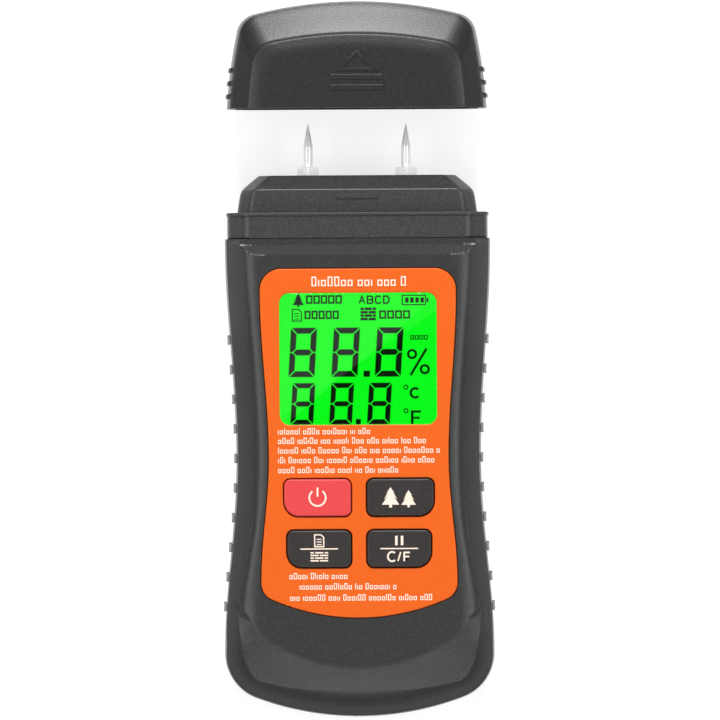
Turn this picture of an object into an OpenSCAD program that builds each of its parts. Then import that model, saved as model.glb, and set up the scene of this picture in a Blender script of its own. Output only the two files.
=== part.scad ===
// Pin-type moisture meter, lying on its back with its cap pulled off in front of the pins.
// +Z points out of the display, +Y towards the pins. The origin is at the middle of the
// whole layout, meter and cap, on the surface that it lies on. All lengths are in millimetres.

/* [Case] */
// Length of the case, from its round end to the seam below the collar
case_len = 117; // [114:0.5:119]
// Half the width of the case at that seam
seam_half_w = 32.5; // [32:0.1:33]
// Half the width of the case at its waist
waist_half_w = 29.9; // [29.4:0.1:30.4]
// Half the width of the case at its broad end
end_half_w = 33; // [32.6:0.1:33.4]
// Height of the face around the display
face_z = 27.4; // [27.2:0.1:28]
// Thickness of the shells' side walls
wall = 2; // [1.8:0.1:2.2]
// Number of grip ribs on each side
rib_count = 10; // [6:1:10]

/* [Head and cap] */
// Height of the collar's front face
collar_z = 25.2; // [25:0.1:25.4]
// Length of the collar, with its rim
collar_len = 6.4; // [6:0.1:7]
// Length of the neck that the cap covers
neck_len = 9.1; // [8.6:0.1:9.4]
// Length of the cap
cap_len = 26.3; // [26:0.1:27]
// Gap between the collar's rim and the mouth of the pulled-off cap
cap_lift = 25.5; // [24:0.5:40]

/* [Probe pins] */
// Distance between the two pins
pin_spacing = 24; // [22:0.5:26]
// Diameter of a pin
pin_d = 2.4; // [2:0.1:2.6]
// How far a pin's tip stands out of the neck
pin_out = 12.6; // [11:0.1:13]
// Distance across the flats of a pin's nut
nut_af = 5.2; // [4.5:0.1:6]

/* [Display and keys] */
// Width of the display window
window_w = 38.2; // [37:0.1:38.6]
// Length of the display window
window_l = 32; // [31:0.1:32.4]
// How far a key stands out of the face plate
key_proud = 0.6; // [0.3:0.1:0.9]
// How far a key travels when it is pressed
key_travel = 1; // [0.8:0.1:1.1]

/* [Battery] */
// Diameter of a AAA cell
cell_d = 10.5; // [10:0.1:10.5]
// Length of a AAA cell
cell_l = 44.5; // [44:0.1:44.5]

/* [Hidden] */
$fn = 48;
eps = 0.01;

// Places along Y
total_len = case_len + collar_len + cap_lift + cap_len;
end_y = -total_len / 2;
seam_y = end_y + case_len;
rim_y = seam_y + collar_len;
neck_y = rim_y + neck_len;
mouth_y = rim_y + cap_lift;
cap_end_y = mouth_y + cap_len;

// Middle of the display window
window_y = seam_y - 29.4;

// Places along Z
mid_z = collar_z / 2;
plate_t = 1.6;
plate_out = 0.2;
plate_z = face_z + plate_out;
pocket_z = plate_z - plate_t - plate_out;
ceiling_z = 23.4;
board_t = 1.6;
board_z = 20.4;

// Case outline: two cosine flanks from the waist, a broad arc at the end, round corners
waist_y = end_y + 63.5;
end_r = 72;
corner_r = 11.7;
corner_x = end_half_w - corner_r;
corner_y = end_y + end_r - sqrt(pow(end_r - corner_r, 2) - pow(corner_x, 2));
corner_sweep = acos(corner_x / (end_r - corner_r));
shoulder_y = seam_y - 7;

function blend(a, b, s) = a + (b - a) * (1 - cos(180 * s)) / 2;
function clamp01(s) = min(1, max(0, s));
function case_half_w(y) = y > waist_y
    ? blend(waist_half_w, seam_half_w, clamp01((y - waist_y) / (seam_y - waist_y)))
    : blend(waist_half_w, end_half_w, clamp01((waist_y - y) / (waist_y - corner_y)));

// A symmetric outline from its right half, which ends on the centre line
function both_halves(right) =
    concat(right, [for (i = [len(right) - 2:-1:0]) [-right[i].x, right[i].y]]);
function arc(centre, r, from, to, steps, first = 0) =
    [for (i = [first:steps]) centre + r * [cos(from + (to - from) * i / steps), sin(from + (to - from) * i / steps)]];

top_steps = 4;
flank_steps = 14;
corner_steps = 6;
end_steps = 4;
case_outline = both_halves(concat(
    [for (i = [0:top_steps]) let (y = seam_y + (shoulder_y - seam_y) * i / top_steps) [case_half_w(y), y]],
    [for (i = [1:flank_steps]) let (y = shoulder_y + (corner_y - shoulder_y) * i / flank_steps) [case_half_w(y), y]],
    arc([corner_x, corner_y], corner_r, 0, -corner_sweep, corner_steps, 1),
    arc([0, end_y + end_r], end_r, -corner_sweep, -90, end_steps, 1)
));

// Face plate outline, point for point with the case outline
plate_top_y = seam_y - 7.2;
plate_end_y = end_y + 24.3;
plate_waist_w = 22.1;
plate_end_w = 24.1;
plate_r = 5.4;
plate_end_r = 53;
plate_corner_r = 4.5;
plate_corner_x = plate_end_w - plate_corner_r;
plate_corner_y = plate_end_y + plate_end_r
    - sqrt(pow(plate_end_r - plate_corner_r, 2) - pow(plate_corner_x, 2));
plate_sweep = acos(plate_corner_x / (plate_end_r - plate_corner_r));
function plate_half_w(y) = blend(plate_waist_w, plate_end_w, clamp01(abs(y - waist_y)
    / (y > waist_y ? plate_top_y - plate_r - waist_y : waist_y - plate_corner_y)));
plate_outline = both_halves(concat(
    arc([plate_end_w - plate_r, plate_top_y - plate_r], plate_r, 90, 0, top_steps),
    [for (i = [1:flank_steps]) let (y = plate_top_y - plate_r + (plate_corner_y - plate_top_y + plate_r) * i / flank_steps)
        [plate_half_w(y), y]],
    arc([plate_corner_x, plate_corner_y], plate_corner_r, 0, -plate_sweep, corner_steps, 1),
    arc([0, plate_end_y + plate_end_r], plate_end_r, -plate_sweep, -90, end_steps, 1)
));

// An outline moved inwards by d. Its two ends stay on their line across the case.
function inwards(p, i) = let (n = len(p) - 1, t = p[min(i + 1, n)] - p[max(i - 1, 0)])
    i == 0 ? [-1, 0] : i == n ? [1, 0] : [t.y, -t.x] / norm(t);
function inset(p, d) = [for (i = [0:len(p) - 1]) p[i] + d * inwards(p, i)];

// The front rises by a bevel to a low ledge, and from there to the face. The ledge is level with the
// collar. Round the end it drops away, and the rise to the face widens into a sloping chin.
draft = 0.45;
wall_top_z = 19.2;
bevel_w = 4.9;
chin_bevel_w = 3.4;
chin_drop = 1.6;
// Bevel profile: [share of its width, share of its height]
bevel = [[0.09, 0], [0.14, 0.18], [0.25, 0.35], [0.53, 0.63], [0.82, 0.88], [1, 1]];
function chin(y) = blend(0, 1, clamp01((end_y + 27 - y) / 21));
function ledge_w(y) = bevel_w + (chin_bevel_w - bevel_w) * chin(y);
function ledge_z(y) = collar_z - chin_drop * chin(y);
// Share of the way from the ledge to the face plate at which the face is reached
function face_share(y) = 0.36 + 0.11 * chin(y);
// Step from the ledge up to the top edge of the face
step_y = seam_y - 4;
step_l = 2.5;
function step_z(y) = face_z - (face_z - collar_z) * clamp01((y - step_y) / step_l);

// Edge profile of the rear, a quarter of an ellipse
bevel_steps = 6;
rear_edge_z = 6.5;
rear_bevel_w = 4.95;

// One closed solid through a list of rings with as many points each, closed by fans
module loft(rings) {
    n = len(rings[0]);
    last = len(rings) - 1;
    centre = [for (r = [rings[0], rings[last]]) [0, (r[0].y + r[floor(n / 2)].y) / 2, r[0].z]];
    points = concat([for (r = rings) each r], centre);
    sides = [for (k = [0:last - 1], i = [0:n - 1]) let (j = (i + 1) % n, a = k * n, b = a + n)
        each [[a + i, a + j, b + i], [a + j, b + j, b + i]]];
    start = [for (i = [0:n - 1]) [(i + 1) % n, i, len(points) - 2]];
    finish = [for (i = [0:n - 1]) [last * n + i, last * n + (i + 1) % n, len(points) - 1]];
    polyhedron(points = points, faces = concat(sides, start, finish));
}

case_ledge = [for (i = [0:len(case_outline) - 1]) case_outline[i] + ledge_w(case_outline[i].y) * inwards(case_outline, i)];
function bevel_ring(e) = [for (i = [0:len(case_outline) - 1]) let (o = case_outline[i], p = o + ledge_w(o.y) * e[0] * inwards(case_outline, i))
    [p.x, p.y, wall_top_z + (ledge_z(o.y) - wall_top_z) * e[1]]];
// Ring of the rise or of the face: rise and level run from 0 to 1
function face_ring(rise, level) = [for (i = [0:len(case_outline) - 1])
    let (y = case_outline[i].y, f = face_share(y), s = f * rise + (1 - f) * level,
        p = case_ledge[i] * (1 - s) + plate_outline[i] * s)
    [p.x, p.y, min(step_z(p.y), ledge_z(y) + (face_z - ledge_z(y)) * rise)]];

// Outside form of the front half of the case
module front_form() loft(concat(
    [[for (p = case_outline) [p.x, p.y, mid_z]]],
    [for (e = bevel) bevel_ring(e)],
    [for (k = [1:3]) face_ring(k / 3, 0)],
    [for (k = [1:4]) face_ring(1, k / 4)]
));

// Outside form of the rear half
module rear_form() loft([
    for (k = [bevel_steps:-1:0]) let (a = 90 * k / bevel_steps)
        [for (p = inset(case_outline, draft + rear_bevel_w * (1 - cos(a)))) [p.x, p.y, rear_edge_z * (1 - sin(a))]],
    [for (p = case_outline) [p.x, p.y, mid_z]]
]);

// A prism that hollows the case, open at the seam
module hollow(d, low, high) {
    p = inset(case_outline, d);
    translate([0, 0, low]) linear_extrude(high - low)
        polygon(concat(p, [[p[len(p) - 1].x, seam_y + 1], [p[0].x, seam_y + 1]]));
}

module rounded_rect(w, l, r) {
    square([w - 2 * r, l], center = true);
    square([w, l - 2 * r], center = true);
    for (x = [-1, 1], y = [-1, 1]) translate([x * (w / 2 - r), y * (l / 2 - r)]) circle(r);
}

module at_window() translate([0, window_y, 0]) children();

module block(x, y, z) translate([x[0], y[0], z[0]]) cube([x[1] - x[0], y[1] - y[0], z[1] - z[0]]);

// A rod along Y
module rod(r, from, to) translate([0, from, 0]) rotate([-90, 0, 0]) cylinder(r = r, h = to - from);

// Fasteners
// The upper pair of case screws clamps the head's ears, so those two bosses stand apart
ear_z = [mid_z - 1.2, mid_z + 1.2];
case_screw_places = [for (x = [-1, 1]) each
    [[x * 25.4, seam_y - 7.2, ear_z[1] - mid_z], [x * 23.6, end_y + 21.8, 0]]];
case_screw_r = 1.3;
case_head_r = 2.7;
case_head_z = [3.2, 5.2];
case_screw_top = 20;
board_screw_places = [for (x = [-1, 1]) each [[x * 23.9, seam_y - 13.6], [x * 22.6, end_y + 32]]];
board_screw_r = 0.8;

// Keys: [centre x, centre y, width, length]; the outer corner nearest the round end is fuller
key_l = 9;
key_gap = 3.9;
key_rows = [end_y + 53.8, end_y + 41.3];
key_widths = [16.3, 15.6];
key_clear = 0.25;
key_r = 1.6;
key_outer_r = 3.6;
function key_place(column, row) = [column * (key_gap + key_widths[row]) / 2, key_rows[row]];
flange_t = 0.9;
flange_w = 1.1;
dome_top = 22.2;

// 2D outline of a key, larger by grow all round
module key_outline(column, row, grow = 0) {
    w = key_widths[row] + 2 * grow;
    l = key_l + 2 * grow;
    r = key_r + grow;
    big = key_outer_r + grow;
    translate(key_place(column, row)) mirror([column < 0 ? 1 : 0, 0]) hull() {
        for (corner = [[-1, 1], [1, 1], [-1, -1]])
            translate([corner.x * (w / 2 - r), corner.y * (l / 2 - r)]) circle(r, $fn = 32);
        translate([w / 2 - big, big - l / 2]) circle(big, $fn = 32);
    }
}
module each_key() for (column = [-1, 1], row = [0, 1]) { $column = column; $row = row; children(); }

// Battery bay and its door
bay_w = 34.4;
bay_y = [end_y + 9.2, end_y + 59];
bay_top = 12.9;
bay_wall = 1.4;
rail_w = 3.2;
cell_pitch = 11.2;
cell_z = 7.3;
door_half_w = 18.4;
door_y = end_y + 60.6;
door_z = [0.3, 1.8];
tongue_w = 1.2;
tongue_z = 1;
door_gap = 0.2;
lip_z = 8;

// ---------------------------------------------------------------- shells

rib_pitch = 7.26;
rib_l = 2.3;
rib_out = 0.6;
first_rib_y = end_y + 92.4;
// Grip ribs on both flanks. side is an XZ outline, with x from the flank.
module ribs(side) for (i = [0:rib_count - 1], x = [-1, 1]) {
    y = first_rib_y - i * rib_pitch;
    mirror([x < 0 ? 1 : 0, 0, 0]) translate([case_half_w(y), y + rib_l / 2, 0]) rotate([90, 0, 0])
        linear_extrude(rib_l) polygon(side);
}

module front_shell() color("#3d3e40") {
    difference() {
        union() {
            difference() {
                union() {
                    front_form();
                    ribs([[-1.6, mid_z], [rib_out, mid_z], [rib_out - draft, 18.6], [-0.6, 21], [-1.8, 21]]);
                }
                hollow(wall, mid_z - 1, 18.6);
                intersection() {
                    hollow(wall + 3.6, 18.5, ceiling_z);
                    block([-40, 40], [end_y + 13, seam_y + 2], [18, 30]);
                }
            }
            intersection() {
                for (p = case_screw_places) translate([p.x, p.y, mid_z + p.z])
                    cylinder(r = 3.1, h = ceiling_z - mid_z - p.z + 1);
                hollow(wall / 2, mid_z, ceiling_z + 0.5);
            }
            for (p = board_screw_places) translate([p.x, p.y, board_z]) cylinder(r = 2.1, h = ceiling_z - board_z + 1);
        }
        translate([0, 0, pocket_z]) linear_extrude(5) polygon(inset(plate_outline, -0.12));
        at_window() {
            translate([0, 0, pocket_z - 0.9]) linear_extrude(2) rounded_rect(window_w + 3.2, window_l + 3.2, 2.4);
            translate([0, 0, ceiling_z - 1]) linear_extrude(5) square([window_w + 0.8, window_l + 0.8], center = true);
        }
        each_key() translate([0, 0, ceiling_z - 1]) linear_extrude(5) key_outline($column, $row, key_clear);
        for (p = case_screw_places) translate([p.x, p.y, mid_z]) cylinder(r = case_screw_r + 0.02, h = case_screw_top + 0.6 - mid_z);
        for (p = board_screw_places) translate([p.x, p.y, board_z - 1]) cylinder(r = board_screw_r + 0.02, h = 4.2);
    }
}

// The space that the door and its tongues need, larger by gap all round
module door_space(gap) {
    block([-door_half_w - gap, door_half_w + gap], [end_y - 2, door_y + gap], [-1, door_z[1] + gap]);
    block([-door_half_w - tongue_w - gap, door_half_w + tongue_w + gap], [end_y - 2, door_y + gap], [tongue_z - gap, door_z[1] + gap]);
    block([-door_half_w - gap, door_half_w + gap], [end_y - 2, end_y + 6.6 + gap], [-1, lip_z + gap]);
    block([-4.5 - gap, 4.5 + gap], [door_y - 1, door_y + 1.4 + gap], [tongue_z - gap, door_z[1] + gap]);
}

module rear_shell() color("#3d3e40") {
    difference() {
        union() {
            difference() {
                union() {
                    rear_form();
                    ribs([[-1.6, mid_z], [rib_out, mid_z], [rib_out - draft, 6.6], [-0.6, 4.6], [-1.8, 4.6]]);
                }
                hollow(wall, 6.5, mid_z + 1);
                hollow(wall + 3.2, wall, 7);
            }
            block([-bay_w / 2 - rail_w, bay_w / 2 + rail_w], [bay_y[0] - bay_wall, bay_y[1] + 3], [1, bay_top + bay_wall]);
            for (p = case_screw_places) translate([p.x, p.y, 1]) cylinder(r = 3.7, h = mid_z - p.z - 1);
        }
        block([-bay_w / 2, bay_w / 2], bay_y, [0, bay_top]);
        door_space(door_gap);
        for (p = case_screw_places) {
            translate([p.x, p.y, -1]) cylinder(r = case_head_r + 0.3, h = case_head_z[1] + 1);
            translate([p.x, p.y, 0]) cylinder(r = case_screw_r + 0.2, h = mid_z);
        }
    }
}

module battery_door() color("#38393b") {
    difference() {
        intersection() {
            rear_form();
            union() {
                block([-door_half_w, door_half_w], [end_y - 1, door_y], door_z);
                block([-door_half_w - tongue_w, door_half_w + tongue_w], [end_y + 12, door_y - 1], [tongue_z, door_z[1]]);
                block([-door_half_w, door_half_w], [end_y - 1, end_y + 6.6], [door_z[0], lip_z]);
                block([-4.5, 4.5], [door_y - 1, door_y + 1.4], [tongue_z, door_z[1]]);
            }
        }
        hollow(wall, 6.5, lip_z + 1);
        hollow(wall + 3.2, door_z[1], 7);
        for (i = [0:3]) block([-7 + i, 7 - i], [end_y + 14 + 2.4 * i, end_y + 15 + 2.4 * i], [0, 0.75]);
    }
}

module face_plate() color("#f9722b") difference() {
    translate([0, 0, pocket_z]) linear_extrude(plate_z - pocket_z) polygon(plate_outline);
    at_window() translate([0, 0, pocket_z - 1]) linear_extrude(5) rounded_rect(window_w + 0.2, window_l + 0.2, 2.5);
    each_key() translate([0, 0, pocket_z - 1]) linear_extrude(5) key_outline($column, $row, key_clear);
}

// ---------------------------------------------------------------- display

lens_z = [pocket_z - 0.7, plate_z - 0.15];
module display_lens() color("#dfe9e2", 0.35) at_window() union() {
    translate([0, 0, lens_z[0]]) linear_extrude(lens_z[1] - lens_z[0]) rounded_rect(window_w, window_l, 2.4);
    translate([0, 0, lens_z[0]]) linear_extrude(0.7) rounded_rect(window_w + 2.8, window_l + 2.8, 2.2);
}
module lens_tape() color("#202124") at_window() translate([0, 0, lens_z[0] - 0.2]) linear_extrude(0.2) difference() {
    rounded_rect(window_w + 2.6, window_l + 2.6, 2.2);
    square([window_w + 1, window_l + 1], center = true);
}
lcd_w = window_w + 0.5;
lcd_l = window_l + 0.5;
lcd_z = [22.6, lens_z[0] - 0.05];
module lcd_glass() color("#35e04a") at_window() block([-lcd_w / 2, lcd_w / 2], [-lcd_l / 2, lcd_l / 2], lcd_z);
module light_guide() color("#f4f6f2") at_window() block([-lcd_w / 2, lcd_w / 2], [3 - lcd_l / 2, lcd_l / 2], [board_z, lcd_z[0]]);
module zebra_strip() color("#6e6f73") at_window() block([-17, 17], [0.3 - lcd_l / 2, 2.3 - lcd_l / 2], [board_z, lcd_z[0]]);
module lcd_frame() color("#e9e9e6") at_window() difference() {
    block([-21.6, 21.6], [-18.6, 18.6], [board_z, ceiling_z - 0.1]);
    block([-lcd_w / 2 - 0.1, lcd_w / 2 + 0.1], [-lcd_l / 2 - 0.1, lcd_l / 2 + 0.1], [board_z - 1, 30]);
    for (x = [-1, 1]) block([x * 10 - 2.2, x * 10 + 2.2], [lcd_l / 2, 18.7], [board_z - 1, lcd_z[0]]);
}
module backlight_leds() color("#fff7c8") at_window() for (x = [-1, 1])
    block([x * 10 - 1.9, x * 10 + 1.9], [lcd_l / 2 + 0.2, lcd_l / 2 + 1.4], [board_z, board_z + 1.2]);

// ---------------------------------------------------------------- electronics

module main_board() color("#1f6a3a") difference() {
    intersection() {
        translate([0, 0, board_z - board_t]) linear_extrude(board_t) polygon(inset(case_outline, 6.2));
        block([-30, 30], [end_y + 27.6, seam_y - 10.6], [board_z - board_t, board_z]);
    }
    for (p = board_screw_places) translate([p.x, p.y, 0]) cylinder(r = 1.1, h = 30);
}
board_under = board_z - board_t;
module board_chips() color("#1c1c1e") translate([0, window_y, board_under]) {
    block([-11, -1], [-12, -2], [-1.4, 0]);
    for (y = [-4, 6]) block([5, 10], [y, y + 4], [-1.5, 0]);
    block([-16, -12.8], [4, 10.4], [-2.4, 0]);
    translate([15, -8, -3.6]) cylinder(r = 2.5, h = 3.6);
}
module thermistor() color("#7a4a22") translate([17, seam_y - 9.2, board_under - 0.5]) union() {
    sphere(r = 1.1);
    rod(0.4, -5, 0);
}

// A round tube along a list of points, as one closed solid
module tube(path, d, sides = 8) {
    function along(i) = let (t = path[min(i + 1, len(path) - 1)] - path[max(i - 1, 0)]) t / norm(t);
    rings = [for (i = [0:len(path) - 1]) let (t = along(i), u = cross(t, [0.03, 0.2, 1]) / norm(cross(t, [0.03, 0.2, 1])), v = cross(t, u))
        [for (k = [0:sides - 1]) path[i] + d / 2 * (u * cos(360 * k / sides) + v * sin(360 * k / sides))]];
    n = len(path) - 1;
    polyhedron(
        points = [for (r = rings) each r],
        faces = concat(
            [[for (k = [0:sides - 1]) k]],
            [for (i = [0:n - 1], k = [0:sides - 1]) let (j = (k + 1) % sides)
                each [[i * sides + k, (i + 1) * sides + k, i * sides + j], [i * sides + j, (i + 1) * sides + k, (i + 1) * sides + j]]],
            [[for (k = [sides - 1:-1:0]) n * sides + k]]
        )
    );
}

// A smooth path with its ends level: from a to b, rising by a cosine
function eased(a, b, steps) = [for (i = [0:steps]) let (s = i / steps)
    [blend(a.x, b.x, s), a.y + (b.y - a.y) * s, blend(a.z, b.z, s)]];

lead_d = 1.2;
module probe_leads() color("#c8362c") for (x = [-1, 1])
    tube(eased([x * pin_spacing / 2, neck_y - socket_l - 0.05, mid_z], [x * 7, seam_y - 13, board_under - 0.7], 10), lead_d);
module battery_leads() color("#c8362c") for (x = [-1, 1])
    tube(eased([x * 12, bay_y[1] + 3.1, 10], [x * 14, seam_y - 42, board_under - 0.7], 10), lead_d);

// ---------------------------------------------------------------- probe head

neck_z = [2.6, collar_z - 2.6];
neck_half_w = [29.3, 28.6, 24.1];
neck_bevel = 3.5;
ridge_h = 0.3;
cap_gap = 0.55;
rim_l = 0.9;
collar_half_w = 32;

// Cross-section of the collar in XZ, with the case's own edge profiles
function collar_section(half_w, low, high) = both_halves(concat(
    [[0, high]],
    [for (k = [len(bevel) - 1:-1:0]) [half_w - bevel_w * bevel[k][0], wall_top_z + (high - wall_top_z) * bevel[k][1]]],
    [[half_w, mid_z]],
    [for (k = [0:bevel_steps]) let (a = 90 * k / bevel_steps)
        [half_w - draft - rear_bevel_w * (1 - cos(a)), rear_edge_z + (low - rear_edge_z) * sin(a)]],
    [[0, low]]
));
module along_y(from, to) translate([0, to, 0]) rotate([90, 0, 0]) linear_extrude(to - from) children();

// Block that the cap fits over, larger by grow all round; from is its start along Y
neck_corner = 3;
module neck_block(from, grow = 0) {
    w = [for (half_w = neck_half_w) half_w + grow];
    z = [neck_z[0] - grow, neck_z[1] + grow];
    flat_w = neck_half_w[0] - neck_corner + grow / 2;
    intersection() {
        along_y(from, neck_y + grow) polygon([
            [flat_w, z[0]], [w[0], z[0] + neck_corner], [w[0], z[1] - neck_corner], [flat_w, z[1]],
            [-flat_w, z[1]], [-w[0], z[1] - neck_corner], [-w[0], z[0] + neck_corner], [-flat_w, z[0]]]);
        linear_extrude(30) polygon([
            [w[0], from - 1], [w[0], rim_y], [w[1], neck_y - 3.7 + grow], [w[2], neck_y + grow],
            [-w[2], neck_y + grow], [-w[1], neck_y - 3.7 + grow], [-w[0], rim_y], [-w[0], from - 1]]);
        translate([-40, 0, 0]) rotate([90, 0, 90]) linear_extrude(80) polygon([
            [from - 1, z[0]], [neck_y - neck_bevel + grow, z[0]], [neck_y + grow, z[0] + neck_bevel],
            [neck_y + grow, z[1] - neck_bevel], [neck_y - neck_bevel + grow, z[1]], [from - 1, z[1]]]);
    }
}

socket_r = 2.5;
socket_l = 9;
module probe_head() color("#3b3c3e") difference() {
    union() {
        neck_block(rim_y - 1);
        along_y(seam_y, rim_y - rim_l / 2) polygon(collar_section(collar_half_w, 0.2, collar_z));
        along_y(rim_y - rim_l, rim_y) polygon(collar_section(collar_half_w + 0.25, 0, collar_z + 0.15));
        // snap ridges that hold the cap
        for (z = [neck_z[0] - ridge_h, neck_z[1] - ridge_h]) block([-5.2, 5.2], [neck_y - 5.6, neck_y - 4.7], [z, z + 2 * ridge_h]);
        // ears that the upper case screws clamp between the shells
        block([-29, 29], [seam_y - 11, seam_y + 1], ear_z);
    }
    block([-19, 19], [seam_y - 20, rim_y + 0.6], [6.6, 18.6]);
    for (x = [-1, 1]) translate([x * pin_spacing / 2, 0, mid_z]) rod(socket_r + 0.01, rim_y - 1, neck_y + 1);
    for (p = case_screw_places) translate([p.x, p.y, 0]) cylinder(r = case_screw_r + 0.2, h = 30);
}

nut_h = 2.1;
cone_l = 5.6;
stud_r = pin_d / 2 - 0.4;
module probe_pin(side) color("#d5d7da") translate([side * pin_spacing / 2, neck_y, mid_z]) rotate([-90, 0, 0]) union() {
    translate([0, 0, -8]) cylinder(r = stud_r, h = 8 + nut_h + eps);
    translate([0, 0, nut_h]) cylinder(r = pin_d / 2, h = pin_out - cone_l - nut_h);
    translate([0, 0, pin_out - cone_l]) rotate_extrude() polygon(concat(
        [[0, 0]],
        [for (i = [0:8]) let (s = i / 8) [pin_d / 2 * (1 - pow(s, 1.35)) + 0.06 * s, cone_l * s]],
        [[0, cone_l]]));
}
module pin_nut(side) color("#c9ccd0") translate([side * pin_spacing / 2, neck_y, mid_z]) rotate([-90, 0, 0]) difference() {
    intersection() {
        rotate(30) cylinder(r = nut_af / sqrt(3), h = nut_h, $fn = 6);
        rotate_extrude() polygon([
            [0, 0], [nut_af * 0.6, 0], [nut_af * 0.6, nut_h - 0.55], [nut_af / 2 - 0.1, nut_h], [0, nut_h]]);
    }
    translate([0, 0, -1]) cylinder(r = stud_r + 0.02, h = nut_h + 2);
}
module pin_socket(side) color("#c9a24a") translate([side * pin_spacing / 2, 0, mid_z]) difference() {
    rod(socket_r, neck_y - socket_l, neck_y - 0.05);
    rod(stud_r + 0.02, neck_y - socket_l + 0.6, neck_y + 1);
}

// ---------------------------------------------------------------- cap

cap_half_w = 31.85;
cap_end_r = 104;
cap_flank_r = 125;
cap_lean = 0.06;
cap_corner_h = 7.3;
function cap_inset(h) = cap_lean * h + h * h / (2 * cap_flank_r);
// Outline of the cap, moved in by side at its flanks and by top at its round end
cap_steps = 6;
function cap_outline(side, top) = let (
    h = cap_len - top - cap_corner_h,
    lean = atan(cap_lean + h / cap_flank_r),
    corner = [cap_half_w - side - cap_inset(h), cap_end_r - cap_corner_h],
    r = (pow(cap_end_r, 2) - corner * corner) / (2 * (cap_end_r - corner * [cos(lean), sin(lean)])),
    centre = corner - r * [cos(lean), sin(lean)],
    sweep = atan(centre.y / centre.x),
    end = [0, mouth_y + cap_len - top - cap_end_r]
) both_halves(concat(
    [for (i = [0:cap_steps]) let (k = h * i / cap_steps) [cap_half_w - side - cap_inset(k), mouth_y + k]],
    arc(end + centre, r, lean, sweep, cap_steps, 1),
    arc(end, cap_end_r, sweep, 90, cap_steps, 1)
));
// Edge of the cap, from its middle to a face: [inset at the flanks, inset at the end, height]
cap_edge = [[0, 0, 0], [0.3, 0.3, 3.6], [0.5, 0.8, 6.5], [1.3, 1.8, 8.7], [2.6, 4.2, 10.3], [4.4, 7.7, 11.4], [5.3, 9, 12.6]];
module cap_form() loft([for (side = [1, -1], k = side > 0 ? [6:-1:0] : [1:6]) let (e = cap_edge[k])
    [for (p = cap_outline(e[0], e[1])) [p.x, p.y, mid_z + side * e[2]]]]);

module cap() color("#3a3b3d") difference() {
    union() {
        cap_form();
        for (i = [0:2], x = [-1, 1]) let (h = 3 + 3.2 * i)
            block([x > 0 ? cap_half_w - cap_inset(h) - 1.5 : cap_inset(h) - cap_half_w - 0.5, x > 0 ? cap_half_w - cap_inset(h) + 0.5 : cap_inset(h) - cap_half_w + 1.5],
                [mouth_y + h - 0.62, mouth_y + h + 0.62], [5.6, collar_z - 5.6]);
        // arrow and grip bars that show which way the cap pulls off
        translate([0, mouth_y, collar_z - 0.3]) linear_extrude(0.6) {
            difference() {
                polygon([[-5, 9], [5, 9], [0, 14.4]]);
                polygon([[-4.1, 9.4], [4.1, 9.4], [0, 13.8]]);
            }
            for (h = [4.2, 6.9]) translate([0, h + 0.8]) square([12.6, 1.9], center = true);
        }
    }
    translate([0, cap_lift, 0]) neck_block(rim_y - 1, cap_gap);
    block([-21, 21], [mouth_y + neck_len, mouth_y + 17.6], [7.2, collar_z - 7.2]);
    block([-15.6, 15.6], [mouth_y + 17.5, mouth_y + 23.2], [9, collar_z - 9]);
}

// ---------------------------------------------------------------- keys

key_top = plate_z + key_proud;
module key(column, row, tint) color(tint) union() {
    translate([0, 0, ceiling_z - flange_t - 0.2]) linear_extrude(key_top - ceiling_z + flange_t + 0.2) key_outline(column, row);
    translate([0, 0, ceiling_z - flange_t - 0.1]) linear_extrude(flange_t) key_outline(column, row, flange_w);
}
module dome(column, row) color("#8f9296") translate(concat(key_place(column, row), [board_z])) rotate_extrude()
    polygon([[0, 0], [3.2, 0], [3.2, 0.3], [2.1, dome_top - board_z], [0, dome_top - board_z]]);

// ---------------------------------------------------------------- battery

plate_gap = 0.05;
contact_t = 0.4;
nub_l = 0.9;
// Where the cells' positive ends touch their contact plates; the middle cell lies the other way round
plus_y = bay_y[1] - plate_gap - contact_t;
module each_way(x) translate([x * cell_pitch, 0, cell_z])
    translate([0, x == 0 ? bay_y[0] + bay_y[1] : 0, 0]) mirror([0, x == 0 ? 1 : 0, 0]) children();
module cell(x) color("#3f7fbf") each_way(x) union() {
    rod(cell_d / 2, plus_y - cell_l, plus_y - nub_l);
    rod(1.9, plus_y - nub_l - 0.5, plus_y);
}
spring_wire = 0.6;
spring_l = plus_y - cell_l - bay_y[0] - plate_gap - contact_t - 0.06;
spring_turns = 3;
module battery_springs() color("#c4c7ca") for (x = [-1, 0, 1]) each_way(x)
    translate([0, bay_y[0] + plate_gap + contact_t + 0.03 + spring_wire / 2, 0])
        tube([for (i = [0:8 * spring_turns]) let (s = i / (8 * spring_turns), r = 3.4 - 1.2 * s)
            [r * cos(45 * i), (spring_l - spring_wire) * s, r * sin(45 * i)]], spring_wire, 6);
module battery_plates() color("#c4c7ca") for (x = [-1, 0, 1], y = [bay_y[0] + plate_gap, plus_y])
    block([x * cell_pitch - 4.6, x * cell_pitch + 4.6], [y, y + contact_t], [3, 11.6]);

// ---------------------------------------------------------------- screws

module cross_head(r, h) difference() {
    cylinder(r = r, h = h);
    for (a = [0, 90]) rotate(a) translate([-r * 0.6, -r * 0.13, -1]) cube([r * 1.2, r * 0.26, 1 + h * 0.55]);
}
module case_screws() color("#8d9094") for (p = case_screw_places) translate([p.x, p.y, case_head_z[0]]) union() {
    cross_head(case_head_r, case_head_z[1] - case_head_z[0]);
    translate([0, 0, 1.5]) cylinder(r = case_screw_r, h = case_screw_top - case_head_z[0] - 1.5);
}
module board_screws() color("#8d9094") for (p = board_screw_places) translate([p.x, p.y, board_under - 1.2]) union() {
    cross_head(1.9, 1.2);
    translate([0, 0, 1]) cylinder(r = board_screw_r, h = 4.2);
}

// ---------------------------------------------------------------- nodes

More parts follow.
